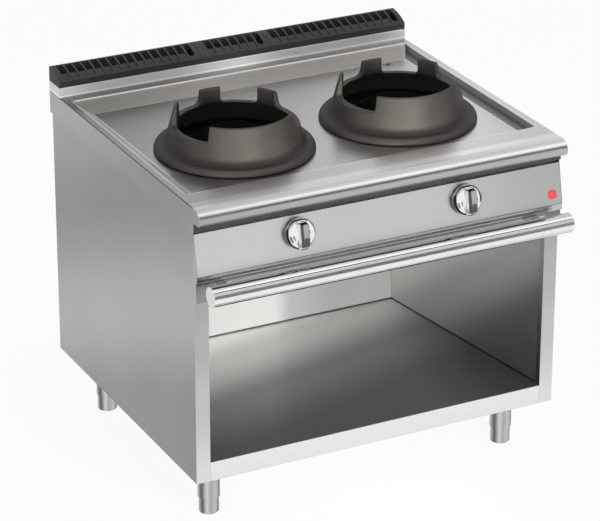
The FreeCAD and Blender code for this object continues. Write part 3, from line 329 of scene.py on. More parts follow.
# ------------------------------------------------------------------ finishes
class Brushing(Enum):
    """Direction of the brushed grain: the scale along each axis, per metre."""

    ALONG_X = (6.0, 900.0, 900.0)
    ALONG_Z = (900.0, 900.0, 6.0)
    NONE = (140.0, 140.0, 140.0)


def start_material(name: str) -> tuple[bpy.types.Material, Sheet, bpy.types.Node]:
    """New material with one Principled shader.

    Args:
        name: Material's name.

    Returns:
        The material, its sheet and the shader node.
    """
    material = bpy.data.materials.new(name)
    material.use_nodes = True
    return material, Sheet(material.node_tree), material.node_tree.nodes["Principled BSDF"]


@dataclass(frozen=True)
class Gradient:
    """Painted light and shade: a soft change of a sheet's brightness along one direction.

    Attributes:
        direction: Direction in which the places are measured.
        stops: Place in metres and brightness of each stop.
    """

    direction: Triple
    stops: Stops

    def level(self, sheet: Sheet) -> object:
        """Brightness of the shaded point."""
        return sheet.ramp(sheet.along(self.direction), self.stops)


@dataclass(frozen=True)
class FacingShade:
    """Painted light, shade and reflection of a round or bent part, after the direction that its faces look
    at.

    Attributes:
        direction: Direction that the places refer to.
        stops: Place, from -1 against that direction to 1 along it, and brightness of each stop.
    """

    direction: Triple
    stops: Stops

    def level(self, sheet: Sheet) -> object:
        """Brightness of the shaded point."""
        return sheet.ramp(sheet.facing(self.direction), self.stops)


@dataclass(frozen=True)
class FoldHighlights:
    """Painted highlight lines along a sheet's folds, where a rounded edge would catch the light.

    Attributes:
        brightness: Brightness of the lines.
        reach: Distance from the middle, along X, up to which they show.
        front: Place along Y behind which they show.
        foot: Height over which they show.
        fade: Half the length over which they fade out at these limits.
    """

    brightness: float
    reach: float = 0.4915
    front: float = -0.375
    foot: float = 0.844
    fade: float = 0.001

    def mask(self, sheet: Sheet) -> object:
        """Find the lines.

        Args:
            sheet: Tree of the material.

        Returns:
            Socket that is 1 on a line, else 0.
        """
        across = sheet.maths("ABSOLUTE", sheet.along(X_AXIS))
        limits = (sheet.spread(across, self.reach + self.fade, self.reach - self.fade),
                  sheet.spread(sheet.along(Y_AXIS), self.front - self.fade, self.front + self.fade),
                  sheet.spread(sheet.along(Z_AXIS), self.foot - self.fade, self.foot + self.fade))
        mask = sheet.use(FOLDS).outputs["Folds"]
        for limit in limits:
            mask = sheet.maths("MULTIPLY", mask, limit)
        return mask


@dataclass(frozen=True)
class SteelFinish:
    """Brushed or dull sheet steel.

    Attributes:
        name: Material's name.
        colour: Middle colour of the sheet.
        roughness: Middle roughness.
        brushing: Direction of the grain.
        contrast: How much the grain lightens and darkens the sheet.
        wiping: How much soft patches change the gloss.
        patches: Scale of the soft patches, per metre.
        depth: Depth of the grain, in metres.
        bump: Strength with which the grain's depth shows.
        painted_light: Painted light and shade over the sheet, as soft changes of brightness multiplied with
            each other.
        edge: Faces in front of this place along Y take the edge colour, if it is given.
        edge_stops: Painted light and shade of those faces over their height.
        edge_tint: Colour of those faces at brightness 1.
        edge_fade: Length over which the edge colour fades in.
        metallic: Share of mirror-like metal; the rest is satin.
        folds: Painted highlight lines along the folds, if they show.
        painted_reflection: Painted reflection bands of a round part, if it has any.
    """

    name: str
    colour: Triple
    roughness: float = 0.3
    brushing: Brushing = Brushing.ALONG_X
    contrast: float = 0.03
    wiping: float = 0.04
    patches: float = 3.0
    depth: float = 0.00002
    bump: float = 0.5
    painted_light: tuple[Gradient, ...] = ()
    edge: float | None = None
    edge_stops: Stops = ((0.13, 0.72), (1.0, 0.72))
    edge_tint: Triple = STEEL_WHITE
    edge_fade: float = 0.0005
    metallic: float = 1.0
    folds: FoldHighlights | None = None
    painted_reflection: FacingShade | None = None

    def tone(self, sheet: Sheet) -> object:
        """Work out the sheet's colour with its painted light and shade, before the grain.

        Args:
            sheet: Tree of the material.

        Returns:
            The colour, or its socket.
        """
        # Painted light and shade, then painted reflection bands where the part has them.
        tone = sheet.product(self.colour, *[gradient.level(sheet) for gradient in self.painted_light])
        if self.painted_reflection is not None:
            tone = sheet.product(tone, self.painted_reflection.level(sheet))
        if self.edge is None:
            return tone
        light = sheet.ramp(sheet.along(Z_AXIS), self.edge_stops)
        return sheet.blend(self.front(sheet), tone, sheet.product(self.edge_tint, light))

    def front(self, sheet: Sheet) -> object:
        """1 on the front faces that take the edge colour, else 0."""
        return sheet.spread(sheet.along(Y_AXIS), self.edge, self.edge - self.edge_fade)

    def bare(self, sheet: Sheet) -> object:
        """Work out the share of mirror-like metal, which is all of it on the front faces.

        Args:
            sheet: Tree of the material.

        Returns:
            The share, or its socket.
        """
        if self.edge is None:
            return self.metallic
        return sheet.spread(self.front(sheet), 0.0, 1.0, self.metallic, 1.0)

    def build(self) -> bpy.types.Material:
        """Make the material.

        Returns:
            The material.
        """
        material, sheet, shader = start_material(self.name)
        streaks = sheet.use(GRAIN, Scale=self.brushing.value).outputs["Streaks"]
        patches = sheet.use(CLOUDS, Size=self.patches).outputs["Patches"]
        lines = sheet.spread(streaks, 0.0, 1.0, 1 - self.contrast, 1 + self.contrast)
        smears = sheet.spread(patches, 0.0, 1.0, 1.0, 1 - self.contrast / 2)
        tone = sheet.product(self.tone(sheet), sheet.maths("MULTIPLY", lines, smears))
        # Painted highlights along the folds.
        if self.folds is not None:
            tone = sheet.blend(self.folds.mask(sheet), tone, (self.folds.brightness,) * 3)
        gloss = sheet.maths("ADD", sheet.maths("MULTIPLY", patches, self.wiping),
                            sheet.maths("MULTIPLY", streaks, self.wiping))
        bump = sheet.add("ShaderNodeBump", {"Height": streaks, "Distance": self.depth,
                                            "Strength": self.bump})
        sheet.feed(shader.inputs["Base Color"], tone)
        sheet.feed(shader.inputs["Roughness"], sheet.maths("ADD", gloss, self.roughness - self.wiping))
        sheet.feed(shader.inputs["Metallic"], self.bare(sheet))
        sheet.feed(shader.inputs["Normal"], bump.outputs["Normal"])
        return material


@dataclass(frozen=True)
class WorktopFinish(SteelFinish):
    """Brushed top whose aprons, nose and sides of the well each take their own painted light and shade.

    The slopes are parts of a face's normal, between which a mask rises from 0 to 1.

    Attributes:
        apron: Painted light of the upright aprons at both ends.
        apron_slope: Part along X, on both sides, of the aprons.
        nose: Painted highlight bands of the nose over its height, and painted shade on the strip under it.
        nose_sweep: Painted light of the nose along the front.
        nose_place: Faces in front of this place along Y belong to the nose.
        nose_fade: Length over which its tone fades in.
        shaded: Brightness of the well's side that faces away from the light, over the distance
            from the middle.
        shaded_slope: Part along X of that side.
        rear: Painted light and shade of the well's rear side along the front.
        rear_tint: Colour that the painted light of this side takes besides.
        rear_slope: Part along Y of that side.
        lit: Colour of the well's side that looks at the light.
        lit_slope: Part along X of that side.
        lit_metal: Share of mirror-like metal on that side.
    """

    apron: Gradient = Gradient((0.0, 0.43, 1.0), ((0.7, 0.27), (1.05, 0.36)))
    apron_slope: Span = (0.85, 0.97)
    nose: Gradient = Gradient(Z_AXIS, ((0.826, 0.3), (0.874, 0.42)))
    nose_sweep: Gradient = Gradient(X_AXIS, ((-0.5, 0.93), (0.0, 1.0), (0.5, 1.03)))
    nose_place: float = -0.381
    nose_fade: float = 0.004
    shaded: Stops = ((0.45, 0.2), (0.456, 0.14), (0.464, 0.05), (0.472, 0.11), (0.482, 0.05))
    shaded_slope: Span = (-0.35, -0.45)
    rear: Gradient = Gradient(X_AXIS, ((-0.3, 1.0), (-0.16, 0.97), (0.06, 0.86), (0.31, 0.66)))
    rear_tint: Triple = (1.0, 0.98, 0.95)
    rear_slope: Span = (-0.12, -0.2)
    lit: Triple = (0.45, 0.445, 0.43)
    lit_slope: Span = (0.3, 0.42)
    lit_metal: float = 0.15

    def slope(self, sheet: Sheet, axis: str) -> object:
        """Part of the unsmoothed normal along one axis."""
        return sheet.add("ShaderNodeSeparateXYZ", {0: sheet.normal("True Normal")}).outputs[axis]

    def tone(self, sheet: Sheet) -> object:
        """Work out the top's colour with its painted light and shade, before the grain.

        Args:
            sheet: Tree of the material.

        Returns:
            The colour's socket.
        """
        top = super().tone(sheet)
        # Painted light and shade on the well's sides, highlight bands on the nose and painted light on the
        # aprons.
        rear = sheet.spread(self.slope(sheet, "Y"), *self.rear_slope)
        top = sheet.blend(rear, top, sheet.product(top, self.rear.level(sheet), self.rear_tint))
        shade = sheet.ramp(sheet.maths("ABSOLUTE", sheet.along(X_AXIS)), self.shaded)
        top = sheet.blend(sheet.spread(self.slope(sheet, "X"), *self.shaded_slope), top, shade)
        top = sheet.blend(self.turned_to_light(sheet), top, self.lit)
        front = sheet.spread(sheet.along(Y_AXIS), self.nose_place, self.nose_place - self.nose_fade)
        nose = sheet.product(self.nose.level(sheet), self.nose_sweep.level(sheet))
        upright = sheet.spread(sheet.maths("ABSOLUTE", self.slope(sheet, "X")), *self.apron_slope)
        return sheet.blend(upright, sheet.blend(front, top, nose), self.apron.level(sheet))

    def turned_to_light(self, sheet: Sheet) -> object:
        """1 on the well's side that looks at the light, else 0."""
        return sheet.spread(self.slope(sheet, "X"), *self.lit_slope)

    def bare(self, sheet: Sheet) -> object:
        """Share of mirror-like metal, which is small on the lit side of the well."""
        return sheet.spread(self.turned_to_light(sheet), 0.0, 1.0, 1.0, self.lit_metal)


@dataclass(frozen=True)
class PolishedFinish:
    """Mirror-bright metal with faint handling marks.

    Attributes:
        name: Material's name.
        colour: Metal's colour.
        roughness: Lowest roughness.
        marks: Roughness that the handling marks add.
        dulling: Brightness of the handling marks.
        patches: Scale of the handling marks, per metre.
        painted_reflection: Painted reflection bands of a round bar, if it has any.
    """

    name: str
    colour: Triple
    roughness: float = 0.05
    marks: float = 0.08
    dulling: float = 0.9
    patches: float = 24.0
    painted_reflection: FacingShade | None = None

    def tone(self, sheet: Sheet, colour: object) -> object:
        """Add the painted reflection bands to the metal's colour.

        Args:
            sheet: Tree of the material.
            colour: Socket of the metal's colour.

        Returns:
            The colour's socket.
        """
        if self.painted_reflection is None:
            return colour
        return sheet.product(colour, self.painted_reflection.level(sheet))

    def build(self) -> bpy.types.Material:
        """Make the material.

        Returns:
            The material.
        """
        material, sheet, shader = start_material(self.name)
        patches = sheet.use(CLOUDS, Size=self.patches, Low=0.5, High=0.8).outputs["Patches"]
        dull = tuple(part * self.dulling for part in self.colour)
        rough = sheet.maths("MULTIPLY", patches, self.marks)
        tone = self.tone(sheet, sheet.blend(patches, self.colour, dull))
        sheet.feed(shader.inputs["Base Color"], tone)
        sheet.feed(shader.inputs["Roughness"], sheet.maths("ADD", rough, self.roughness))
        sheet.feed(shader.inputs["Metallic"], 1.0)
        return material


@dataclass(frozen=True)
class KnobFinish(PolishedFinish):
    """Mirror-bright knob with painted shade on the rim's side that looks into the room and a painted grey
    reflection on its grip.

    Attributes:
        joint: Hinge whose axis the heights are measured along, from the hinge's place.
        crescent: Painted shade on the rim.
        underside: Painted shade on the side that looks down.
        right_side: Painted shade on the side that looks to the right.
        skirt: Height where the rim's painted shade ends.
        grip: Height where the grip's painted grey starts.
        grip_reflection_grey: Painted grey reflection of the grip.
        flank: Painted shade on the grip's side that looks to the left.
        fade: Length over which the rim ends and the grip starts.
    """

    joint: str = "left_knob_turn"
    crescent: FacingShade = FacingShade((-0.93, -0.25, -0.28), ((0.6, 1.0), (0.72, 0.04), (1.0, 0.03)))
    underside: FacingShade = FacingShade((0.1, -0.5, -0.86), ((0.45, 1.0), (0.75, 0.45)))
    right_side: FacingShade = FacingShade(X_AXIS, ((0.35, 1.0), (0.6, 0.5)))
    skirt: float = 0.02
    grip: float = 0.033
    grip_reflection_grey: Triple = (0.42, 0.42, 0.41)
    flank: FacingShade = FacingShade((-1.0, 0.0, 0.0), ((0.3, 1.0), (0.6, 0.35)))
    fade: float = 0.003

    def over(self, sheet: Sheet, height: float) -> object:
        """Find the part of a knob over a height.

        Args:
            sheet: Tree of the material.
            height: Height over the hinge's place, along its axis.

        Returns:
            Socket that is 1 over the height, else 0.
        """
        joint = joint_called(self.joint)
        axis = Vector(joint["axis"]).normalized()
        low = axis.dot(Vector(joint["pos_m"])) + height
        return sheet.spread(sheet.along(tuple(axis)), low, low + self.fade)

    def tone(self, sheet: Sheet, colour: object) -> object:
        """Add the painted shade of the rim and sides and the painted grey reflection of the grip to the
        metal's colour.

        Args:
            sheet: Tree of the material.
            colour: Socket of the metal's colour.

        Returns:
            The colour's socket.
        """
        # Painted shade on the rim, underside and right side; painted grey reflection on the grip.
        rim = sheet.maths("MAXIMUM", self.crescent.level(sheet), self.over(sheet, self.skirt))
        disc = sheet.product(colour, rim, self.underside.level(sheet), self.right_side.level(sheet))
        bar = sheet.product(self.grip_reflection_grey, self.flank.level(sheet))
        return sheet.blend(self.over(sheet, self.grip), disc, bar)


@dataclass(frozen=True)
class CastFinish:
    """Cast iron, bare or under thin matt enamel.

    Attributes:
        name: Material's name.
        colour: Colour of the high spots.
        pit_colour: Colour of the pits and patches.
        roughness: Middle roughness.
        metallic: Share of bare metal in the look.
        depth: Depth of the skin, in metres.
        bump: Strength with which the skin's depth shows.
        grain: Fine grain's scale, per metre.
        patches: Scale of the patches, per metre.
        pit_share: Share of the pits' colour in a pit.
        patch_share: Share of it that a patch adds.
        pit_roughness: Roughness that the pits add.
        lit: Painted light and shade of the casting's sides, if it has any.
        axis: X, on both sides, and Y of the upright axis whose inward faces are sooty and in painted shade.
        soot_and_shade: Colour of the inward faces, sooty and in painted shade.
        soot_and_shade_slope: Outward part of a face's normal, between none of that dark and all of it.
        valley: Painted shade over the height, darker in the valley over the skirt.
        soot_and_shade_share: Share of that dark over the height, less on the lugs, whose inner faces catch
            the light.
        specular: Strength of the sheen.
    """

    name: str
    colour: Triple
    pit_colour: Triple
    roughness: float = 0.55
    metallic: float = 0.0
    depth: float = 0.0003
    bump: float = 0.7
    grain: float = 900.0
    patches: float = 14.0
    pit_share: float = 0.6
    patch_share: float = 0.35
    pit_roughness: float = 0.2
    lit: FacingShade | None = None
    axis: Span | None = None
    soot_and_shade: Triple = (0.0125, 0.013, 0.012)
    soot_and_shade_slope: Span = (0.05, -0.35)
    valley: Stops = ((0.85, 0.5), (0.855, 1.0), (0.864, 0.9), (0.873, 0.4), (0.889, 1.0))
    soot_and_shade_share: Stops = ((0.914, 1.0), (0.926, 0.65), (0.94, 0.35))
    specular: float = 0.3

    def radial(self, sheet: Sheet) -> object:
        """Work out how far a face looks away from the upright axis of its side.

        Args:
            sheet: Tree of the material.

        Returns:
            Socket that is 1 outward and -1 inward.
        """
        place = sheet.add("ShaderNodeSeparateXYZ", {0: sheet.place()}).outputs
        offset = sheet.maths("SUBTRACT", sheet.maths("ABSOLUTE", place["X"]), self.axis[0])
        across = sheet.maths("MULTIPLY", offset, sheet.maths("SIGN", place["X"]))
        inward = sheet.maths("SUBTRACT", place["Y"], self.axis[1])
        reach = sheet.add("ShaderNodeCombineXYZ", {0: across, 1: inward}).outputs[0]
        away = sheet.add("ShaderNodeVectorMath", {0: reach}, operation="NORMALIZE").outputs[0]
        return sheet.dot(away, sheet.normal())

    def tone(self, sheet: Sheet, colour: object) -> object:
        """Paint shade on the casting's unlit sides and in its valley, and make its inside sooty and shaded.

        Args:
            sheet: Tree of the material.
            colour: Socket of the casting's colour.

        Returns:
            The colour's socket.
        """
        if self.lit is None:
            return colour
        # Painted light and shade on the sides and in the valley, and a sooty dark with painted shade on the
        # inward faces.
        valley = sheet.ramp(sheet.along(Z_AXIS), self.valley)
        inside = sheet.spread(self.radial(sheet), *self.soot_and_shade_slope)
        inside = sheet.maths("MULTIPLY", inside, sheet.ramp(sheet.along(Z_AXIS), self.soot_and_shade_share))
        return sheet.blend(inside, sheet.product(colour, self.lit.level(sheet), valley), self.soot_and_shade)

    def build(self) -> bpy.types.Material:
        """Make the material.

        Returns:
            The material.
        """
        material, sheet, shader = start_material(self.name)
        skin = sheet.use(CASTING, Grain=self.grain).outputs
        patches = sheet.use(CLOUDS, Size=self.patches).outputs["Patches"]
        share = sheet.maths("ADD", sheet.maths("MULTIPLY", skin["Pits"], self.pit_share),
                            sheet.maths("MULTIPLY", patches, self.patch_share), clamp=True)
        rough = sheet.maths("MULTIPLY", skin["Pits"], self.pit_roughness)
        lowest = self.roughness - self.pit_roughness / 4
        bump = sheet.add("ShaderNodeBump", {"Height": skin["Height"], "Distance": self.depth,
                                            "Strength": self.bump})
        tone = self.tone(sheet, sheet.blend(share, self.colour, self.pit_colour))
        sheet.feed(shader.inputs["Base Color"], tone)
        sheet.feed(shader.inputs["Roughness"], sheet.maths("ADD", rough, lowest))
        sheet.feed(shader.inputs["Metallic"], self.metallic)
        sheet.feed(shader.inputs["Specular IOR Level"], self.specular)
        sheet.feed(shader.inputs["Normal"], bump.outputs["Normal"])
        return material


@dataclass(frozen=True)
class FittingFinish:
    """Small metal fittings that tarnish a little: brass, copper and plated steel.

    Attributes:
        name: Material's name.
        colour: Clean metal.
        tarnish: Colour of the tarnished patches.
        roughness: Roughness of the clean metal.
        dulling: Roughness that the tarnish adds.
        patches: Scale of the tarnished patches, per metre.
    """

    name: str
    colour: Triple
    tarnish: Triple
    roughness: float = 0.28
    dulling: float = 0.25
    patches: float = 30.0

    def build(self) -> bpy.types.Material:
        """Make the material.

        Returns:
            The material.
        """
        material, sheet, shader = start_material(self.name)
        patches = sheet.use(CLOUDS, Size=self.patches).outputs["Patches"]
        rough = sheet.maths("MULTIPLY", patches, self.dulling)
        sheet.feed(shader.inputs["Base Color"], sheet.blend(patches, self.colour, self.tarnish))
        sheet.feed(shader.inputs["Roughness"], sheet.maths("ADD", rough, self.roughness))
        sheet.feed(shader.inputs["Metallic"], 1.0)
        return material


@dataclass(frozen=True)
class EnamelFinish:
    """Glossy paint over a flat plate.

    Attributes:
        name: Material's name.
        colour: Paint's colour.
        shade: Darker colour of its uneven patches.
        patches: Scale of the patches, per metre.
        roughness: Roughness of the paint.
        coat: Strength of the clear gloss over it.
    """

    name: str
    colour: Triple
    shade: Triple
    patches: float = 80.0
    roughness: float = 0.25
    coat: float = 0.6

    def build(self) -> bpy.types.Material:
        """Make the material.

        Returns:
            The material.
        """
        material, sheet, shader = start_material(self.name)
        patches = sheet.use(CLOUDS, Size=self.patches).outputs["Patches"]
        sheet.feed(shader.inputs["Base Color"], sheet.blend(patches, self.colour, self.shade))
        sheet.feed(shader.inputs["Roughness"], self.roughness)
        sheet.feed(shader.inputs["Coat Weight"], self.coat)
        return material


INNER_WHITE = (1.0, 1.0, 0.965)
SIDE_BAND = (0.0, 0.43, 1.0)
WALL_BAND = (0.0, 0.8, 1.0)
WELL_SWEEP = (0.8, -0.6, 0.0)
FLOOR_SWEEP = (-0.25, 1.0, 0.0)
# Painted shade along the foot of the compartment's walls, where they meet the bottom pan.
FOOT_SHADE_LINE = Gradient(Z_AXIS, ((0.1985, 0.1), (0.2015, 1.0)))
# Painted light band across the side panels and the worktop's aprons.
SIDE_LIGHT = Gradient(SIDE_BAND, ((0.05, 0.26), (0.2, 0.27), (0.44, 0.425), (0.75, 0.25), (1.05, 0.36)))
# Front edges of the side panels are painted darker towards the top, in the rail's shade.
SIDE_STEEL = SteelFinish(
    "side_steel", STEEL_WHITE, 0.36, Brushing.ALONG_Z, painted_light=(SIDE_LIGHT,),
    edge=-0.3852, edge_stops=((0.13, 0.8), (0.35, 0.6), (0.5, 0.5), (0.68, 0.42)))
# Painted light on the top: lighter towards the front right, a lighter front rim, highlight bands down the
# nose and painted shade on the strip under it.
WORKTOP_STEEL = WorktopFinish(
    "worktop_steel", (1.0, 0.985, 0.955), 0.3, apron=SIDE_LIGHT, folds=FoldHighlights(0.9),
    painted_light=(
        Gradient(WELL_SWEEP, ((-0.55, 0.2), (-0.2, 0.32), (0.2, 0.48), (0.4, 0.6), (0.6, 0.5))),
        Gradient(Y_AXIS, ((-0.385, 1.25), (-0.366, 1.3), (-0.35, 1.0)))),
    nose=Gradient(Z_AXIS, (
        (0.8275, 0.09), (0.8295, 0.1), (0.8308, 0.45), (0.8325, 0.3), (0.838, 0.46), (0.85, 0.5),
        (0.857, 0.62), (0.8625, 0.95), (0.866, 0.6), (0.869, 0.52), (0.8705, 0.6))))
# Painted light on the riser, fading from left to right, with a painted highlight along its foot.
RISER_STEEL = SteelFinish(
    "riser_steel", (0.62, 0.615, 0.6), 0.3, metallic=0.2, folds=FoldHighlights(0.85),
    painted_light=(
        Gradient(X_AXIS, ((-0.5, 1.15), (-0.1, 1.0), (0.5, 0.85))),
        Gradient(Z_AXIS, ((0.874, 1.4), (0.8765, 1.0)))))
# Painted light on the control panel, fading towards its right end.
PANEL_STEEL = SteelFinish(
    "panel_steel", STEEL_WHITE, 0.3, contrast=0.008,
    painted_light=(Gradient(X_AXIS, ((-0.5, 0.62), (0.1, 0.585), (0.5, 0.48))),))
# Painted shade on the fascia: darker at both ends and below a sharp line near the rail.
FASCIA_STEEL = SteelFinish(
    "fascia_steel", (1.0, 1.0, 0.98), 0.16, contrast=0.01,
    painted_light=(
        Gradient(X_AXIS, ((-0.5, 0.55), (-0.466, 0.6), (-0.455, 1.0), (0.44, 1.0), (0.47, 0.55))),
        Gradient(Z_AXIS, ((0.64, 0.5), (0.679, 0.36), (0.6812, 0.36), (0.6818, 0.95), (0.7, 1.0)))))
# Painted reflection on the compartment's floor, light at the rear left and dark at the front right; its
# front face is painted lighter.
PAN_STEEL = SteelFinish(
    "pan_steel", INNER_WHITE, 0.22, contrast=0.01, metallic=0.3,
    edge=-0.3845, edge_stops=((0.13, 0.8), (0.2, 0.84)),
    painted_light=(
        Gradient(FLOOR_SWEEP, ((-0.5, 0.06), (-0.26, 0.06), (-0.05, 0.125), (0.15, 0.43), (0.36, 1.0))),))
# Painted light on the compartment's side walls, darker towards the bottom front.
WALL_STEEL = SteelFinish(
    "wall_steel", INNER_WHITE, 0.16, Brushing.ALONG_Z, contrast=0.01, metallic=0.3,
    painted_light=(
        Gradient(WALL_BAND, ((0.0, 0.07), (0.1, 0.085), (0.3, 0.27), (0.5, 0.55), (0.8, 0.56))),
        FOOT_SHADE_LINE))
# Painted reflection on the back wall and the compartment's ceiling, bright over the left part.
LINER_STEEL = SteelFinish(
    "liner_steel", STEEL_WHITE, 0.14, Brushing.ALONG_Z, contrast=0.01, metallic=0.3,
    painted_light=(
        Gradient(X_AXIS, ((-0.38, 0.4), (-0.2, 0.41), (0.02, 0.42), (0.08, 0.27), (0.2, 0.24),
                          (0.375, 0.28), (0.379, 0.12))),
        FOOT_SHADE_LINE))
BACK_STEEL = SteelFinish("back_steel", (0.46, 0.46, 0.45), 0.42, Brushing.ALONG_Z)
# Painted reflection bands round the legs.
LEG_STEEL = SteelFinish(
    "leg_steel", (1.0, 0.995, 0.98), 0.22, contrast=0.02,
    painted_reflection=FacingShade((0.91, -0.415, 0.0), (
        (-1.0, 0.45), (-0.65, 0.13), (-0.15, 0.62), (0.2, 0.42), (0.6, 0.54), (0.78, 0.42),
        (0.92, 0.11), (1.0, 0.16))))
BRIGHT_STEEL = SteelFinish("bright_steel", (0.62, 0.62, 0.61), 0.2, Brushing.NONE, contrast=0.04)
ZINC = FittingFinish("zinc_plate", (0.52, 0.53, 0.55), (0.38, 0.39, 0.40), 0.38)
# Painted reflection bands along the rail.
CHROME = PolishedFinish(
    "rail_chrome", (0.88, 0.88, 0.885),
    painted_reflection=FacingShade((0.0, 0.42, 0.907), (
        (-1.0, 0.5), (-0.85, 0.78), (-0.6, 0.95), (-0.1, 0.95), (0.0, 0.74), (0.15, 0.58),
        (0.28, 0.95), (0.36, 1.1), (0.46, 1.1), (0.6, 0.66), (1.0, 0.6))))
# Knobs with painted shade on the rim and sides and a painted grey reflection on the grip.
KNOB_CHROME = KnobFinish("knob_chrome", (0.86, 0.86, 0.86), 0.05, 0.05)
# Painted light from the front left on the rings, with a sooty dark and painted shade on their inward faces.
RING_IRON = CastFinish(
    "ring_iron", (0.175, 0.155, 0.14), (0.145, 0.128, 0.116), 0.5, 0.2, axis=(0.228, -0.046),
    lit=FacingShade((-0.40, -0.90, 0.15), ((-0.2, 0.14), (0.5, 0.2), (0.88, 0.42), (1.0, 0.7))))
# Burners painted near black, as shade inside the rings.
PAINTED_DARK_BURNER = CastFinish("burner_iron", (0.005,) * 3, (0.003,) * 3, 0.8, specular=0.0)
FLUE_ENAMEL = CastFinish("flue_enamel", (0.038, 0.036, 0.033), (0.022, 0.021, 0.019), 0.5, depth=0.0002)
BRASS = FittingFinish("brass", (0.70, 0.55, 0.27), (0.45, 0.32, 0.15))
COPPER = FittingFinish("copper_pipe", (0.72, 0.42, 0.28), (0.42, 0.24, 0.16))
GAS_PIPE = FittingFinish("gas_pipe", (0.30, 0.30, 0.31), (0.18, 0.18, 0.18), 0.45)
BADGE = EnamelFinish("badge_enamel", (0.56, 0.045, 0.04), (0.42, 0.03, 0.03))

BUILT: dict[str, bpy.types.Material] = {}


# ------------------------------------------------------------------ piece helpers
def material_of(finish: object) -> bpy.types.Material:
    """Give a finish's material, made at its first use.

    Args:
        finish: One of the finishes above.

    Returns:
        The material.
    """
    if finish.name not in BUILT:
        BUILT[finish.name] = finish.build()
    return BUILT[finish.name]


def dress(finish: object, *names: str) -> None:
    """Give CAD nodes one finish.

    Args:
        finish: One of the finishes above.
        names: Nodes that take it.
    """
    material = material_of(finish)
    for name in names:
        mesh = NODES[name].data
        mesh.materials.clear()
        mesh.materials.append(material)
        LOG.info("dressed %s in %s", name, finish.name)


def link(name: str, mesh: bpy.types.Mesh) -> bpy.types.Object:
    """Put a mesh in the scene as an object of its own.

    Args:
        name: Object's name.
        mesh: Its mesh.

    Returns:
        The object.
    """
    item = bpy.data.objects.new(name, mesh)
    bpy.context.scene.collection.objects.link(item)
    return item


def settle(item: bpy.types.Object) -> bpy.types.Object:
    """Apply every modifier of an object and drop the modifiers.

    Args:
        item: Object with live modifiers.

    Returns:
        The same object with a plain mesh.
    """
    graph = bpy.context.evaluated_depsgraph_get()
    graph.update()
    mesh = bpy.data.meshes.new_from_object(item.evaluated_get(graph))
    item.modifiers.clear()
    item.data = mesh
    return item


def finish_piece(item: bpy.types.Object, finish: object, body: str, slot: str, *nodes: str) -> None:
    """Give a new piece its finish, hang it on the body that carries it and hide the CAD nodes that it
    replaces.

    Args:
        item: The piece.
        finish: Its finish.
        body: Body that carries it.
        slot: Material slot of the record; not used.
        nodes: CAD nodes that it replaces.
    """
    item.data.materials.clear()
    item.data.materials.append(material_of(finish))
    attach(item, body)
    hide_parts(*nodes)
    LOG.info("made %s, %d faces", item.name, len(item.data.polygons))


def merged(node: str) -> bmesh.types.BMesh:
    """Open a CAD node's mesh with its loose triangles merged.

    Args:
        node: Node's name.

    Returns:
        The mesh, to be freed by the caller.
    """
    work = bmesh.new()
    work.from_mesh(NODES[node].data)
    bmesh.ops.remove_doubles(work, verts=work.verts, dist=MERGE_REACH)
    return work


def node_copy(node: str, name: str) -> bpy.types.Object:
    """Copy a CAD node, with its loose triangles merged.

    Args:
        node: Node's name.
        name: Copy's name.

    Returns:
        The copy.
    """
    mesh = NODES[node].data.copy()
    work = merged(node)
    work.to_mesh(mesh)
    work.free()
    return link(name, mesh)


def island_boxes(node: str) -> list[tuple[Vector, Vector]]:
    """Measure every loose piece of a CAD node.

    Args:
        node: Node's name.

    Returns:
        Lowest and highest corner of each piece.
    """
    work = merged(node)
    left = dict.fromkeys(work.verts)
    boxes = []
    while left:
        stack, found = [left.popitem()[0]], []
        while stack:
            vertex = stack.pop()
            found.append(vertex.co.copy())
            for edge in vertex.link_edges:
                other = edge.other_vert(vertex)
                if other in left:
                    del left[other]
                    stack.append(other)
        low = Vector([min(place[k] for place in found) for k in range(3)])
        high = Vector([max(place[k] for place in found) for k in range(3)])
        boxes.append((low, high))
    work.free()
    return boxes


def joint_called(name: str) -> dict:
    """The frame's joint of that name."""
    return next(joint for joint in frame["joints"] if joint["name"] == name)


def joint_frame(name: str) -> Matrix:
    """Work out the matrix that puts a piece built along +Z on a hinge.

    Args:
        name: Hinge's name.

    Returns:
        The matrix, with the hinge's axis and place.
    """
    joint = joint_called(name)
    axis = Vector(joint["axis"]).normalized()
    across = Vector(X_AXIS)
    turn = Matrix((across, axis.cross(across), axis)).transposed().to_4x4()
    return Matrix.Translation(Vector(joint["pos_m"])) @ turn


def pair(*names: str) -> list[str]:
    """The left and right node of each name."""
    return [side + "_" + name for name in names for side in SIDES]


def smooth_step(value: float, low: float, high: float) -> float:
    """Smooth change from 0 at low to 1 at high."""
    share = min(max((value - low) / (high - low), 0.0), 1.0)
    return share * share * (3.0 - 2.0 * share)


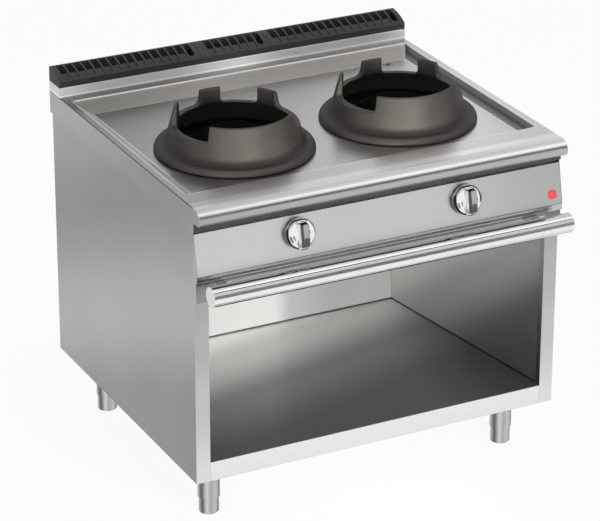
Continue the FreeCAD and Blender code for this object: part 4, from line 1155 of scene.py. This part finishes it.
class Lathe:
    """Closed mesh of rings of points round the Z axis, from the top's middle to the foot's."""

    def __init__(self, steps: int) -> None:
        """Start an empty mesh.

        Args:
            steps: Number of points of every ring.
        """
        self.work = bmesh.new()
        self.turns = [2 * math.pi * k / steps for k in range(steps)]
        self.rings: list[list[bmesh.types.BMVert]] = []

    def places(self, reach: float) -> list[Span]:
        """X and Y of the points of a ring with that radius."""
        return [(reach * math.cos(turn), reach * math.sin(turn)) for turn in self.turns]

    def ring(self, reach: float, levels: list[float]) -> None:
        """Add a ring with a radius and the height of each of its points."""
        points = zip(self.places(reach), levels)
        self.rings.append([self.work.verts.new((x, y, level)) for (x, y), level in points])

    def close(self, name: str, crown: float, foot: float, smooth: bool) -> bpy.types.Mesh:
        """Join the rings and close both middles.

        Args:
            name: Mesh's name.
            crown: Height of the top's middle.
            foot: Height of the foot's middle.
            smooth: Whether the faces are shaded smoothly.

        Returns:
            The mesh.
        """
        work, first, last = self.work, self.rings[0], self.rings[-1]
        top = work.verts.new((0.0, 0.0, crown))
        bottom = work.verts.new((0.0, 0.0, foot))
        for k in range(len(self.turns)):
            after = (k + 1) % len(self.turns)
            work.faces.new((top, first[k], first[after]))
            work.faces.new((bottom, last[after], last[k]))
            for upper, lower in zip(self.rings, self.rings[1:]):
                work.faces.new((upper[k], lower[k], lower[after], upper[after]))
        bmesh.ops.recalc_face_normals(work, faces=work.faces)
        for face in work.faces:
            face.smooth = smooth
        mesh = bpy.data.meshes.new(name)
        work.to_mesh(mesh)
        work.free()
        return mesh


# ------------------------------------------------------------------ sub-assemblies
@dataclass
class Cabinet:
    """Sheets of the body, the compartment's lining and the frame under it."""

    def build(self) -> None:
        """Dress every sheet and bar."""
        dress(SIDE_STEEL, *pair("side_panel"))
        dress(PAN_STEEL, "bottom_pan")
        dress(LINER_STEEL, "rear_liner", "compartment_ceiling")
        dress(WALL_STEEL, *pair("side_liner"))
        dress(BACK_STEEL, "back_panel")
        dress(ZINC, "front_leg_bar", "rear_leg_bar", "base_rails", "burner_rails", "front_cross_member",
              "rear_cross_member", "flue_duct", "leg_bolts")


@dataclass
class BackScrews:
    """Cross-recessed screws of the back panel, one pattern repeated on their places.

    Attributes:
        sheet: Thickness that the shanks go through.
        shank: Radius of the shanks.
        edge: Share of a head's height at its edge.
        curve: Power of a head's rounding.
        recess: Half the length of the cross.
        arm: Half the width of the cross's arms.
        arm_slope: Share of that half width by which the arms' sides slope inward and outward.
        end_slope: Share of the cross's half length over which its ends slope.
        depth: Depth of the cross.
        most_turn: Largest turn of a screw about its axis, in radians.
        seed: Seed of the turns.
        rings: Rings of faces across a head.
        steps: Faces round a head.
    """

    sheet: float = 0.0015
    shank: float = 0.0019
    edge: float = 0.45
    curve: float = 2.6
    recess: float = 0.0021
    arm: float = 0.00045
    arm_slope: float = 0.3
    end_slope: float = 0.2
    depth: float = 0.0011
    most_turn: float = 1.5
    seed: int = 7
    rings: int = 16
    steps: int = 48

    def top(self, x: float, y: float, radius: float, height: float) -> float:
        """Work out a head's height over a point of its disc.

        Args:
            x: Distance from the axis along one arm of the cross.
            y: Distance from the axis along the other arm.
            radius: Head's radius.
            height: Head's height.

        Returns:
            The height over the sheet.
        """
        share = min(math.hypot(x, y) / radius, 1.0)
        dome = height * (self.edge + (1 - self.edge) * math.sqrt(1.0 - share ** self.curve))
        across, along = sorted((abs(x), abs(y)))
        side = 1 - smooth_step(across, self.arm * (1 - self.arm_slope), self.arm * (1 + self.arm_slope))
        end = 1 - smooth_step(along, self.recess * (1 - self.end_slope), self.recess)
        return dome - self.depth * side * end

    def screw(self, radius: float, height: float) -> bpy.types.Object:
        """Make one screw along +Z with its head over the plane Z = 0.

        Args:
            radius: Head's radius.
            height: Head's height.

        Returns:
            The screw's object.
        """
        lathe = Lathe(self.steps)
        for ring in range(1, self.rings + 1):
            reach = radius * ring / self.rings
            lathe.ring(reach, [self.top(x, y, radius, height) for x, y in lathe.places(reach)])
        for reach, level in ((radius, 0.0), (self.shank, 0.0), (self.shank, -self.sheet)):
            lathe.ring(reach, [level] * self.steps)
        mesh = lathe.close("back_screw", height - self.depth, -self.sheet, smooth=False)
        return bpy.data.objects.new("back_screw", mesh)

    def pattern(self) -> bpy.types.NodeTree:
        """Make the geometry nodes that set a screw on every point, each turned a little differently.

        Returns:
            The tree.
        """
        tree = bpy.data.node_groups.new("screws_on_points", "GeometryNodeTree")
        inputs = {"Points": "Geometry", "Screw": "Object", "Most Turn": "Float", "Finish": "Material"}
        for name, kind in inputs.items():
            tree.interface.new_socket(name, in_out="INPUT", socket_type="NodeSocket" + kind)
        tree.interface.new_socket("Screws", in_out="OUTPUT", socket_type="NodeSocketGeometry")
        sheet = Sheet(tree)
        source = sheet.add("NodeGroupInput").outputs
        shape = sheet.add("GeometryNodeObjectInfo", {"Object": source["Screw"]})
        chance = sheet.add("FunctionNodeRandomValue", {"Seed": self.seed}, data_type="FLOAT")
        least, most = [socket for socket in chance.inputs if socket.type == "VALUE"][:2]
        sheet.feed(least, 0.0)
        sheet.feed(most, source["Most Turn"])
        turned = [socket for socket in chance.outputs if socket.type == "VALUE"][0]
        turn = sheet.add("ShaderNodeCombineXYZ", {"X": -math.pi / 2, "Y": turned})
        placed = sheet.add("GeometryNodeInstanceOnPoints", {
            "Points": source["Points"], "Instance": shape.outputs["Geometry"], "Rotation": turn.outputs[0]})
        plain = sheet.add("GeometryNodeRealizeInstances", {"Geometry": placed.outputs["Instances"]})
        dressed = sheet.add("GeometryNodeSetMaterial", {"Geometry": plain.outputs[0],
                                                        "Material": source["Finish"]})
        sheet.add("NodeGroupOutput", {"Screws": dressed.outputs[0]})
        return tree

    def build(self) -> None:
        """Set the screws where the machined ones are."""
        boxes = island_boxes("back_screws")
        size = boxes[0][1] - boxes[0][0]
        middles = [((low.x + high.x) / 2, low.y + self.sheet, (low.z + high.z) / 2) for low, high in boxes]
        points = bpy.data.meshes.new("screw_points")
        points.from_pydata(middles, [], [])
        item = link("panel_screws", points)
        nodes = item.modifiers.new("screws", "NODES")
        nodes.node_group = self.pattern()
        values = {"Screw": self.screw(size.x / 2, size.y - self.sheet), "Most Turn": self.most_turn,
                  "Finish": material_of(BRIGHT_STEEL)}
        for socket in nodes.node_group.interface.items_tree:
            if socket.name in values:
                nodes[socket.identifier] = values[socket.name]
        finish_piece(settle(item), BRIGHT_STEEL, "cabinet", "bright_steel", "back_screws")


@dataclass
class Legs:
    """Four round legs with adjustable feet."""

    def build(self) -> None:
        """Dress sleeves and feet."""
        feet = [f"{end}_{side}_foot" for end in ("front", "rear") for side in SIDES]
        dress(LEG_STEEL, "leg_sleeves", *feet)


@dataclass
class Worktop:
    """Pressed top with its well, drain and the riser behind it."""

    def build(self) -> None:
        """Dress the pressed steel."""
        dress(WORKTOP_STEEL, "worktop")
        dress(RISER_STEEL, "flue_riser")
        dress(BRIGHT_STEEL, "well_drain", *pair("burner_collar"))


@dataclass
class FlueCovers:
    """Cast covers over the flue."""

    def build(self) -> None:
        """Dress the covers."""
        dress(FLUE_ENAMEL, "left_flue_cover", "middle_flue_cover", "right_flue_cover")


@dataclass
class Front:
    """Control panel, fascia, rail and plate."""

    def build(self) -> None:
        """Dress the front."""
        dress(PANEL_STEEL, "control_panel")
        dress(FASCIA_STEEL, "lower_fascia")
        dress(BADGE, "blank_badge")
        dress(CHROME, "rail", "rail_caps", *pair("knob_bezel"))
        dress(BRIGHT_STEEL, "rail_brackets")


@dataclass
class GasLine:
    """Taps, pipes and burners."""

    def build(self) -> None:
        """Dress the gas parts."""
        dress(BRASS, "jets", "gas_inlet_nut", *pair("spindle", "tap_plunger", "gas_tap"))
        dress(GAS_PIPE, "gas_manifold", "gas_inlet_pipe")
        dress(COPPER, "supply_pipes", "pilot_pipes", "thermocouples")
        dress(BRIGHT_STEEL, "pilots")
        dress(PAINTED_DARK_BURNER, *pair("burner_body", "burner_crown"))


@dataclass
class Knobs:
    """Two tap knobs: a domed disc with a grip bar between two hollows.

    Heights are over the panel. The spans are distances between which a form starts and is full.

    Attributes:
        radius: Disc's radius.
        lip: Height of the skirt's lower edge.
        lip_ease: Size of the lower edge's small bevel.
        base: Height of the hollow underside.
        inside: Radius of the hollow underside.
        skirt: Height where the rounded rim starts.
        rim: Radius of the rim's rounding.
        dome: Height of the dome's middle.
        hollow: Depth of the hollows beside the grip.
        hollow_side: Span of the hollows, from the grip's middle plane.
        hollow_end: Span over which they end, from the knob's axis.
        grip_top: Height of the grip's top.
        grip_side: Span of the grip's flanks, from its middle plane.
        grip_end: Span over which the grip's ends fall to the face, from the axis.
        grip_curve: Power of that fall.
        rings: Rings of faces across the face of the knob.
        rim_rings: Rings of faces over the rim.
        steps: Faces round the knob.
    """

    radius: float = 0.038
    lip: float = 0.0046
    lip_ease: float = 0.0004
    base: float = 0.0088
    inside: float = 0.0366
    skirt: float = 0.0085
    rim: float = 0.007
    dome: float = 0.0315
    hollow: float = 0.005
    hollow_side: Span = (0.005, 0.016)
    hollow_end: Span = (0.02, 0.0345)
    grip_top: float = 0.046
    grip_side: Span = (0.0075, 0.0125)
    grip_end: Span = (0.026, 0.0338)
    grip_curve: float = 1.5
    rings: int = 30
    rim_rings: int = 6
    steps: int = 96

    def height(self, x: float, y: float) -> float:
        """Work out the height of the knob's face over a point of its disc.

        Args:
            x: Distance across the grip.
            y: Distance along the grip.

        Returns:
            The height over the panel.
        """
        reach = math.hypot(x, y)
        edge = self.skirt + self.rim
        share = min(reach / self.radius, 1.0)
        face = edge + (self.dome - edge) * (1.0 - share ** 2)
        beside = smooth_step(abs(x), *self.hollow_side) * (1.0 - smooth_step(reach, *self.hollow_end))
        face -= self.hollow * beside
        bar = 1.0 - smooth_step(abs(x), *self.grip_side)
        ends = 1.0 - smooth_step(reach, *self.grip_end) ** self.grip_curve
        return face + (self.grip_top - face) * bar * max(ends, 0.0)

    def mesh(self) -> bpy.types.Mesh:
        """Make a closed knob along +Z, with its face, rim, skirt and underside.

        Returns:
            The mesh.
        """
        lathe = Lathe(self.steps)
        inner = self.radius - self.rim
        for ring in range(1, self.rings + 1):
            reach = inner * ring / self.rings
            lathe.ring(reach, [self.height(x, y) for x, y in lathe.places(reach)])
        edge = [self.height(x, y) for x, y in lathe.places(inner)]
        for ring in range(1, self.rim_rings + 1):
            angle = math.pi / 2 * ring / self.rim_rings
            drop = self.rim * (1.0 - math.cos(angle))
            lathe.ring(inner + self.rim * math.sin(angle), [level - drop for level in edge])
        underside = ((self.radius, self.lip + self.lip_ease), (self.radius - self.lip_ease, self.lip),
                     (self.inside, self.lip), (self.inside, self.base))
        for reach, level in underside:
            lathe.ring(reach, [level] * self.steps)
        return lathe.close("knob", self.height(0.0, 0.0), self.base, smooth=True)

    def build(self) -> None:
        """Make both knobs."""
        for side in SIDES:
            mesh = self.mesh()
            mesh.transform(joint_frame(side + "_knob_turn"))
            finish_piece(link(side + "_tap_knob", mesh), KNOB_CHROME, side + "_turn", "knob_chrome",
                         side + "_knob")


@dataclass
class WokRings:
    """Two cast rings, with every edge rounded as a casting's is.

    Attributes:
        cell: Size of the faces that the casting is built of.
        ease: Strength of each easing of its edges.
        rounds: Times that its edges are eased.
    """

    cell: float = 0.0019
    ease: float = 0.5
    rounds: int = 5

    def build(self) -> None:
        """Make both rings from the machined shape."""
        for side in SIDES:
            ring = node_copy(side + "_wok_ring", side + "_cast_ring")
            remesh = ring.modifiers.new("cast", "REMESH")
            remesh.mode = "VOXEL"
            remesh.voxel_size = self.cell
            remesh.use_smooth_shade = True
            ease = ring.modifiers.new("ease", "SMOOTH")
            ease.factor = self.ease
            ease.iterations = self.rounds
            finish_piece(settle(ring), RING_IRON, side + "_ring", "ring_iron", side + "_wok_ring")


# ------------------------------------------------------------------ studio
def seen_directly(sheet: Sheet) -> object:
    """Find what the camera sees itself, in a mirror or through glass.

    Args:
        sheet: Tree of a material or the world.

    Returns:
        Socket that is 1 for such a view, else 0.
    """
    path = sheet.add("ShaderNodeLightPath").outputs
    seen = sheet.maths("MAXIMUM", path["Is Camera Ray"], path["Is Glossy Ray"])
    return sheet.maths("MAXIMUM", seen, path["Is Transmission Ray"])


def mix_in(sheet: Sheet, share: object, other: bpy.types.Node) -> None:
    """Mix another shader into a material's own.

    Args:
        sheet: Tree of the material.
        share: Share of the other shader.
        other: Node of the other shader.
    """
    nodes = sheet.tree.nodes
    mixed = sheet.add("ShaderNodeMixShader", {0: share, 1: nodes["Principled BSDF"].outputs[0],
                                              2: other.outputs[0]})
    sheet.feed(nodes["Material Output"].inputs["Surface"], mixed.outputs[0])


@dataclass(frozen=True)
class Paper:
    """Flat four-cornered sheet of the studio.

    Attributes:
        name: Sheet's name, and its material's.
        colour: Its colour.
        roughness: Its roughness.
    """

    name: str
    colour: Triple
    roughness: float = 0.9

    def lay(self, corners: list[Triple]) -> bpy.types.Object:
        """Make the sheet.

        Args:
            corners: Its four corners.

        Returns:
            The sheet's object.
        """
        mesh = bpy.data.meshes.new(self.name)
        mesh.from_pydata(corners, [], [(0, 1, 2, 3)])
        material, sheet, shader = start_material(self.name + "_paper")
        sheet.feed(shader.inputs["Base Color"], as_rgba(self.colour))
        sheet.feed(shader.inputs["Roughness"], self.roughness)
        mesh.materials.append(material)
        item = link(self.name, mesh)
        return item


@dataclass(frozen=True)
class Card(Paper):
    """Grey or dark sheet that only the polished metal near it shows.

    Attributes:
        reach: Distance up to which the metal shows it.
        across: Its ends along X.
        inward: Its ends along Y.
        upward: Its ends along Z, which are the same where it lies level.
    """

    reach: float = 9.0
    across: Span = (-1.1, 1.3)
    inward: Span = (-0.65, -0.65)
    upward: Span = (0.0, 1.0)

    def hang(self) -> None:
        """Make the card."""
        (x0, x1), (y0, y1), (z0, z1) = self.across, self.inward, self.upward
        level = z0 == z1
        second, last = (x1, y0 if level else y1, z0), (x0, y1 if level else y0, z1)
        card = self.lay([(x0, y0, z0), second, (x1, y1, z1), last])
        sheet = Sheet(card.data.materials[0].node_tree)
        path = sheet.add("ShaderNodeLightPath")
        far = sheet.maths("GREATER_THAN", path.outputs["Ray Length"], self.reach)
        mix_in(sheet, far, sheet.add("ShaderNodeBsdfTransparent"))
        card.visible_camera = False
        card.visible_diffuse = False
        card.visible_transmission = False
        card.visible_shadow = False


@dataclass(frozen=True)
class Floor(Paper):
    """Pale floor that looks white and keeps a faint shadow.

    Attributes:
        reach: Distance of its edges from the middle.
        whiteness: Share of plain white in its look; the rest keeps the shadow.
    """

    reach: float = 12.0
    whiteness: float = 0.92

    def spread_out(self) -> None:
        """Make the floor."""
        ends = ((-1, -1), (1, -1), (1, 1), (-1, 1))
        floor = self.lay([(x * self.reach, y * self.reach, 0.0) for x, y in ends])
        sheet = Sheet(floor.data.materials[0].node_tree)
        share = sheet.maths("MULTIPLY", seen_directly(sheet), self.whiteness)
        white = sheet.add("ShaderNodeEmission", {"Color": as_rgba(WHITE), "Strength": 1.0})
        mix_in(sheet, share, white)


@dataclass(frozen=True)
class Lamp:
    """Soft square lamp that metal doesn't mirror.

    Attributes:
        name: Lamp's name.
        place: Where it hangs.
        aim: Point that it faces.
        size: Length of its side.
        power: Strength in watts.
        spread: Angle of its light, in degrees.
    """

    name: str
    place: Triple
    aim: Triple
    size: float
    power: float
    spread: float = 180.0

    def hang(self) -> None:
        """Make the lamp."""
        data = bpy.data.lights.new(self.name, "AREA")
        data.size = self.size
        data.energy = self.power
        data.spread = math.radians(self.spread)
        lamp = bpy.data.objects.new(self.name, data)
        lamp.location = self.place
        lamp.rotation_euler = (Vector(self.aim) - Vector(self.place)).to_track_quat("-Z", "Y").to_euler()
        lamp.visible_glossy = False
        bpy.context.scene.collection.objects.link(lamp)


@dataclass
class Studio:
    """Pale floor, soft light and the camera at the photograph's angle.

    Attributes:
        focal_px: Focal length in the photograph's pixels.
        centre_px: Where the lens axis meets the photograph.
        frame_px: Width and height of the photograph.
        place: Camera's place.
        yaw: Turn about Z, to the right of +Y, in degrees.
        pitch: Tilt above the horizon, in degrees.
        roll: Turn about the lens axis, in degrees.
        sensor: Width of the camera's sensor, in millimetres.
        sight: Distance up to which the camera sees.
        shade: Colour of the world's light on dull surfaces.
        floor: The floor.
        cards: Cards that the polished metal shows.
        lamps: The lamps.
    """

    focal_px: float = 2964.3
    centre_px: Span = (291.0, 200.8)
    frame_px: Span = (600.0, 521.0)
    place: Triple = (-3.1527, -6.1289, 3.5724)
    yaw: float = 26.840
    pitch: float = -22.996
    roll: float = -0.028
    sensor: float = 36.0
    sight: float = 60.0
    shade: Triple = (0.58, 0.58, 0.59)
    floor: Floor = Floor("floor", (0.86, 0.86, 0.86))
    cards: tuple[Card, ...] = (
        Card("low_card", (0.55, 0.56, 0.6), reach=0.245, upward=(0.628, 0.75)),
        Card("high_card", (0.10, 0.11, 0.14), reach=0.43, upward=(0.915, 1.05)),
        Card("under_card", (0.40, 0.41, 0.43), reach=0.11, inward=(-0.54, -0.475), upward=(0.56, 0.56)),
        Card("right_card", (0.03, 0.03, 0.03), across=(1.6, 1.6), inward=(-1.6, -0.7), upward=(0.4, 1.5)))
    lamps: tuple[Lamp, ...] = (
        Lamp("top_lamp", (0.6, -0.6, 4.2), (0.0, 0.0, 0.5), 3.0, 42.0),
        Lamp("left_lamp", (-3.2, -3.2, 3.0), (0.0, 0.0, 0.5), 2.4, 45.0),
        Lamp("front_lamp", (0.0, -1.6, 0.8), (0.0, 0.1, 0.34), 0.7, 8.0, 50.0))

    def camera(self) -> None:
        """Make the camera."""
        width, height = self.frame_px
        data = bpy.data.cameras.new("camera")
        data.sensor_width = self.sensor
        data.lens = self.focal_px / width * data.sensor_width
        data.shift_x = (width / 2 - self.centre_px[0]) / width
        data.shift_y = (self.centre_px[1] - height / 2) / width
        data.clip_end = self.sight
        camera = bpy.data.objects.new("camera", data)
        camera.location = self.place
        camera.rotation_mode = "XYZ"
        camera.rotation_euler = [math.radians(turn) for turn in (90 + self.pitch, self.roll, -self.yaw)]
        bpy.context.scene.collection.objects.link(camera)
        bpy.context.scene.camera = camera

    def world(self) -> None:
        """Even light with a white background."""
        world = bpy.data.worlds.new("studio")
        bpy.context.scene.world = world
        world.use_nodes = True
        sheet = Sheet(world.node_tree)
        background = world.node_tree.nodes["Background"]
        sheet.feed(background.inputs["Color"], sheet.blend(seen_directly(sheet), self.shade, WHITE))

    def build(self) -> None:
        """Set the whole studio."""
        self.camera()
        self.world()
        self.floor.spread_out()
        for item in self.cards + self.lamps:
            item.hang()
        bpy.context.scene.view_settings.view_transform = "Standard"


def main() -> None:
    """Build every sub-assembly, then the studio."""
    logging.basicConfig(level=logging.INFO, format="%(name)s: %(message)s")
    parts = (Cabinet(), BackScrews(), Legs(), Worktop(), FlueCovers(), Front(), GasLine(), Knobs(),
             WokRings(), Studio())
    for part in parts:
        part.build()
        LOG.info("finished %s", type(part).__name__)


if __name__ == "__main__":
    main()
